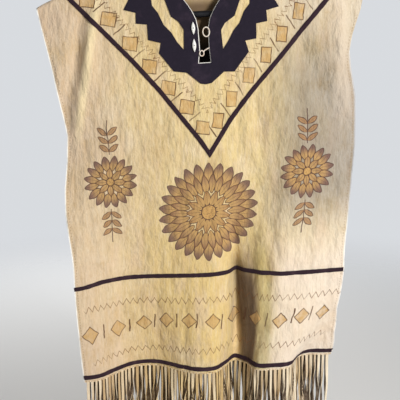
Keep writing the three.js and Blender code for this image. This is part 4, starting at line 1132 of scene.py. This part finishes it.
def tube(path, radius, sides, closed=False, ply=0.0, lay=0.0):
    """A round tube along a path in a plane frame that is carried along it. ply swells the section in two
    strands, which turn once every lay millimetres."""
    way = (np.roll(path, -1, 0) - np.roll(path, 1, 0)) if closed else np.gradient(path, axis=0)
    way /= np.linalg.norm(way, axis=1)[:, None]
    out = np.array([0.0, -1.0, 0.0])
    u = np.cross(way, out)
    u /= np.linalg.norm(u, axis=1)[:, None]
    v = np.cross(way, u)
    along = np.concatenate([[0], np.cumsum(np.linalg.norm(np.diff(path, axis=0), axis=1))])
    angle = np.linspace(0, 2 * np.pi, sides, endpoint=False)[None, :]
    swell = 1 - ply + ply * np.cos(2 * (angle - 2 * np.pi * along[:, None] / lay)) if ply else 1 + 0 * angle
    size = (np.broadcast_to(radius, along.shape)[:, None] * swell)[..., None]
    spokes = np.cos(angle)[..., None] * u[:, None] + np.sin(angle)[..., None] * v[:, None]
    rings = path[:, None] + size * spokes
    index, beside = ring_numbers(rings)
    following = np.roll(index, -1, axis=0), np.roll(beside, -1, axis=0)
    quads = np.stack([index, beside, following[1], following[0]], -1)
    quads = (quads if closed else quads[:-1]).reshape(-1, 4).tolist()
    if not closed:
        quads += [index[0][::-1].tolist(), index[-1].tolist()]
    return rings.reshape(-1, 3), quads


def cord_ring(s, t, half_wide, half_tall):
    """An oval loop of twisted cord, lying on the yoke round a pattern point."""
    wide, down, _ = directions(s, t)
    angle = np.linspace(0, 2 * np.pi, 64, endpoint=False)[:, None]
    path = hung(s, t, 1, ON_YOKE_CORD) + half_wide * np.cos(angle) * wide - half_tall * np.sin(angle) * down
    return tube(path, CORD_RADIUS, 14, True, PLY, LAY)


def join(*parts):
    """Points and faces of several closed meshes as one."""
    points, faces, start = [], [], 0
    for more_points, more_faces in parts:
        points.append(more_points)
        faces += [[k + start for k in face] for face in more_faces]
        start += len(more_points)
    return np.concatenate(points), faces


upper_loop = add_piece("loop_upper_rawhide", *cord_ring(4, 157, 6.6, 9), [rawhide])
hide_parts("loop_upper")
stem = smooth_path([hung(a, b, 1, ON_YOKE_CORD) for a, b in ((-4, 195), (2, 191), (9, 188))], 14)
lower_loop = add_piece("loop_lower_rawhide", *join(
    cord_ring(-7, 198, 4.2, 5.2), tube(stem, CORD_RADIUS, 14, False, PLY, LAY)), [rawhide])
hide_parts("loop_lower")

# ---------- hanger ----------
# One black plastic moulding: a round tube bent into two arms and a bar, with a thinner hook, all tipped a
# little because the poncho hangs off centre.
BAR_RADIUS, HOOK_RADIUS = 6.5, 3.5
APEX_Z, END_X, END_RADIUS, HOOK_BEND, STEM_TOP = -85.6, 190.0, 33.0, 24.0, -62.0
black_plastic, plastic_shader, wiring = new_material("black_plastic", 0.38)
plastic_shader.inputs["Specular IOR Level"].default_value = 0.5
place = wiring.place()
grime = place.noise(55.0, 4.0, 0.6)
pebble = wiring.node("ShaderNodeBump", {"Strength": 0.08, "Distance": 0.0004, "Height": place.noise(1800.0)})
for key, value in (("Base Color", wiring.mix(grime.band(0.5, 0.8), tint(6, 6, 14), tint(20, 20, 28))),
                   ("Roughness", grime.band(0.3, 0.8, 0.32, 0.52)), ("Normal", pebble)):
    wiring.put(value, plastic_shader.inputs[key])


def tipped(x, z):
    """A point of the hanger's own upright frame, tipped about the hook."""
    return [x * math.cos(TILT) - z * math.sin(TILT), 0.0, x * math.sin(TILT) + z * math.cos(TILT)]


arm_angle = math.atan(SHOULDER_SLOPE)
end_z = APEX_Z - (SHOULDER_SLOPE * END_X + END_RADIUS / math.cos(arm_angle))
right_side = [(x, APEX_Z - SHOULDER_SLOPE * x) for x in (0, 60, 130)]
right_side += [(END_X + END_RADIUS * math.cos(a), end_z + END_RADIUS * math.sin(a))
               for a in np.linspace(math.pi / 2 - arm_angle, -math.pi / 2, 7)]
right_side.append((END_X / 2, end_z - END_RADIUS))
left_side = [(-x, z) for x, z in right_side[:0:-1]]
frame_points = [*right_side, (0, end_z - END_RADIUS), *left_side]
frame_path = smooth_path([tipped(x, z) for x, z in frame_points], 12, True)
hook_points = [(0, APEX_Z), (0, APEX_Z + 12), (0, STEM_TOP)]
hook_points += [(HOOK_BEND * math.cos(a), HOOK_RADIUS - HOOK_BEND + HOOK_BEND * math.sin(a))
                for a in np.linspace(-0.3 * math.pi, 1.1 * math.pi, 9)]
hook_path = smooth_path([tipped(x, z) for x, z in hook_points], 10)
tip = np.linspace(0, 1, len(hook_path))
hook_radius = HOOK_RADIUS * np.sqrt(np.clip((1 - tip) / 0.02, 0.02, 1))
hanger = add_piece("hanger_moulding", *join(
    tube(frame_path, BAR_RADIUS, 28, True), tube(hook_path, hook_radius, 20)), [black_plastic])
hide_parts("hanger")

# ---------- sheets ----------
# The flat sizes that the two panels were cut to. Both hang over the hanger, wrong
# sides together.
flat_area(front_s, front_t)
flat_area(back_s, back_t)
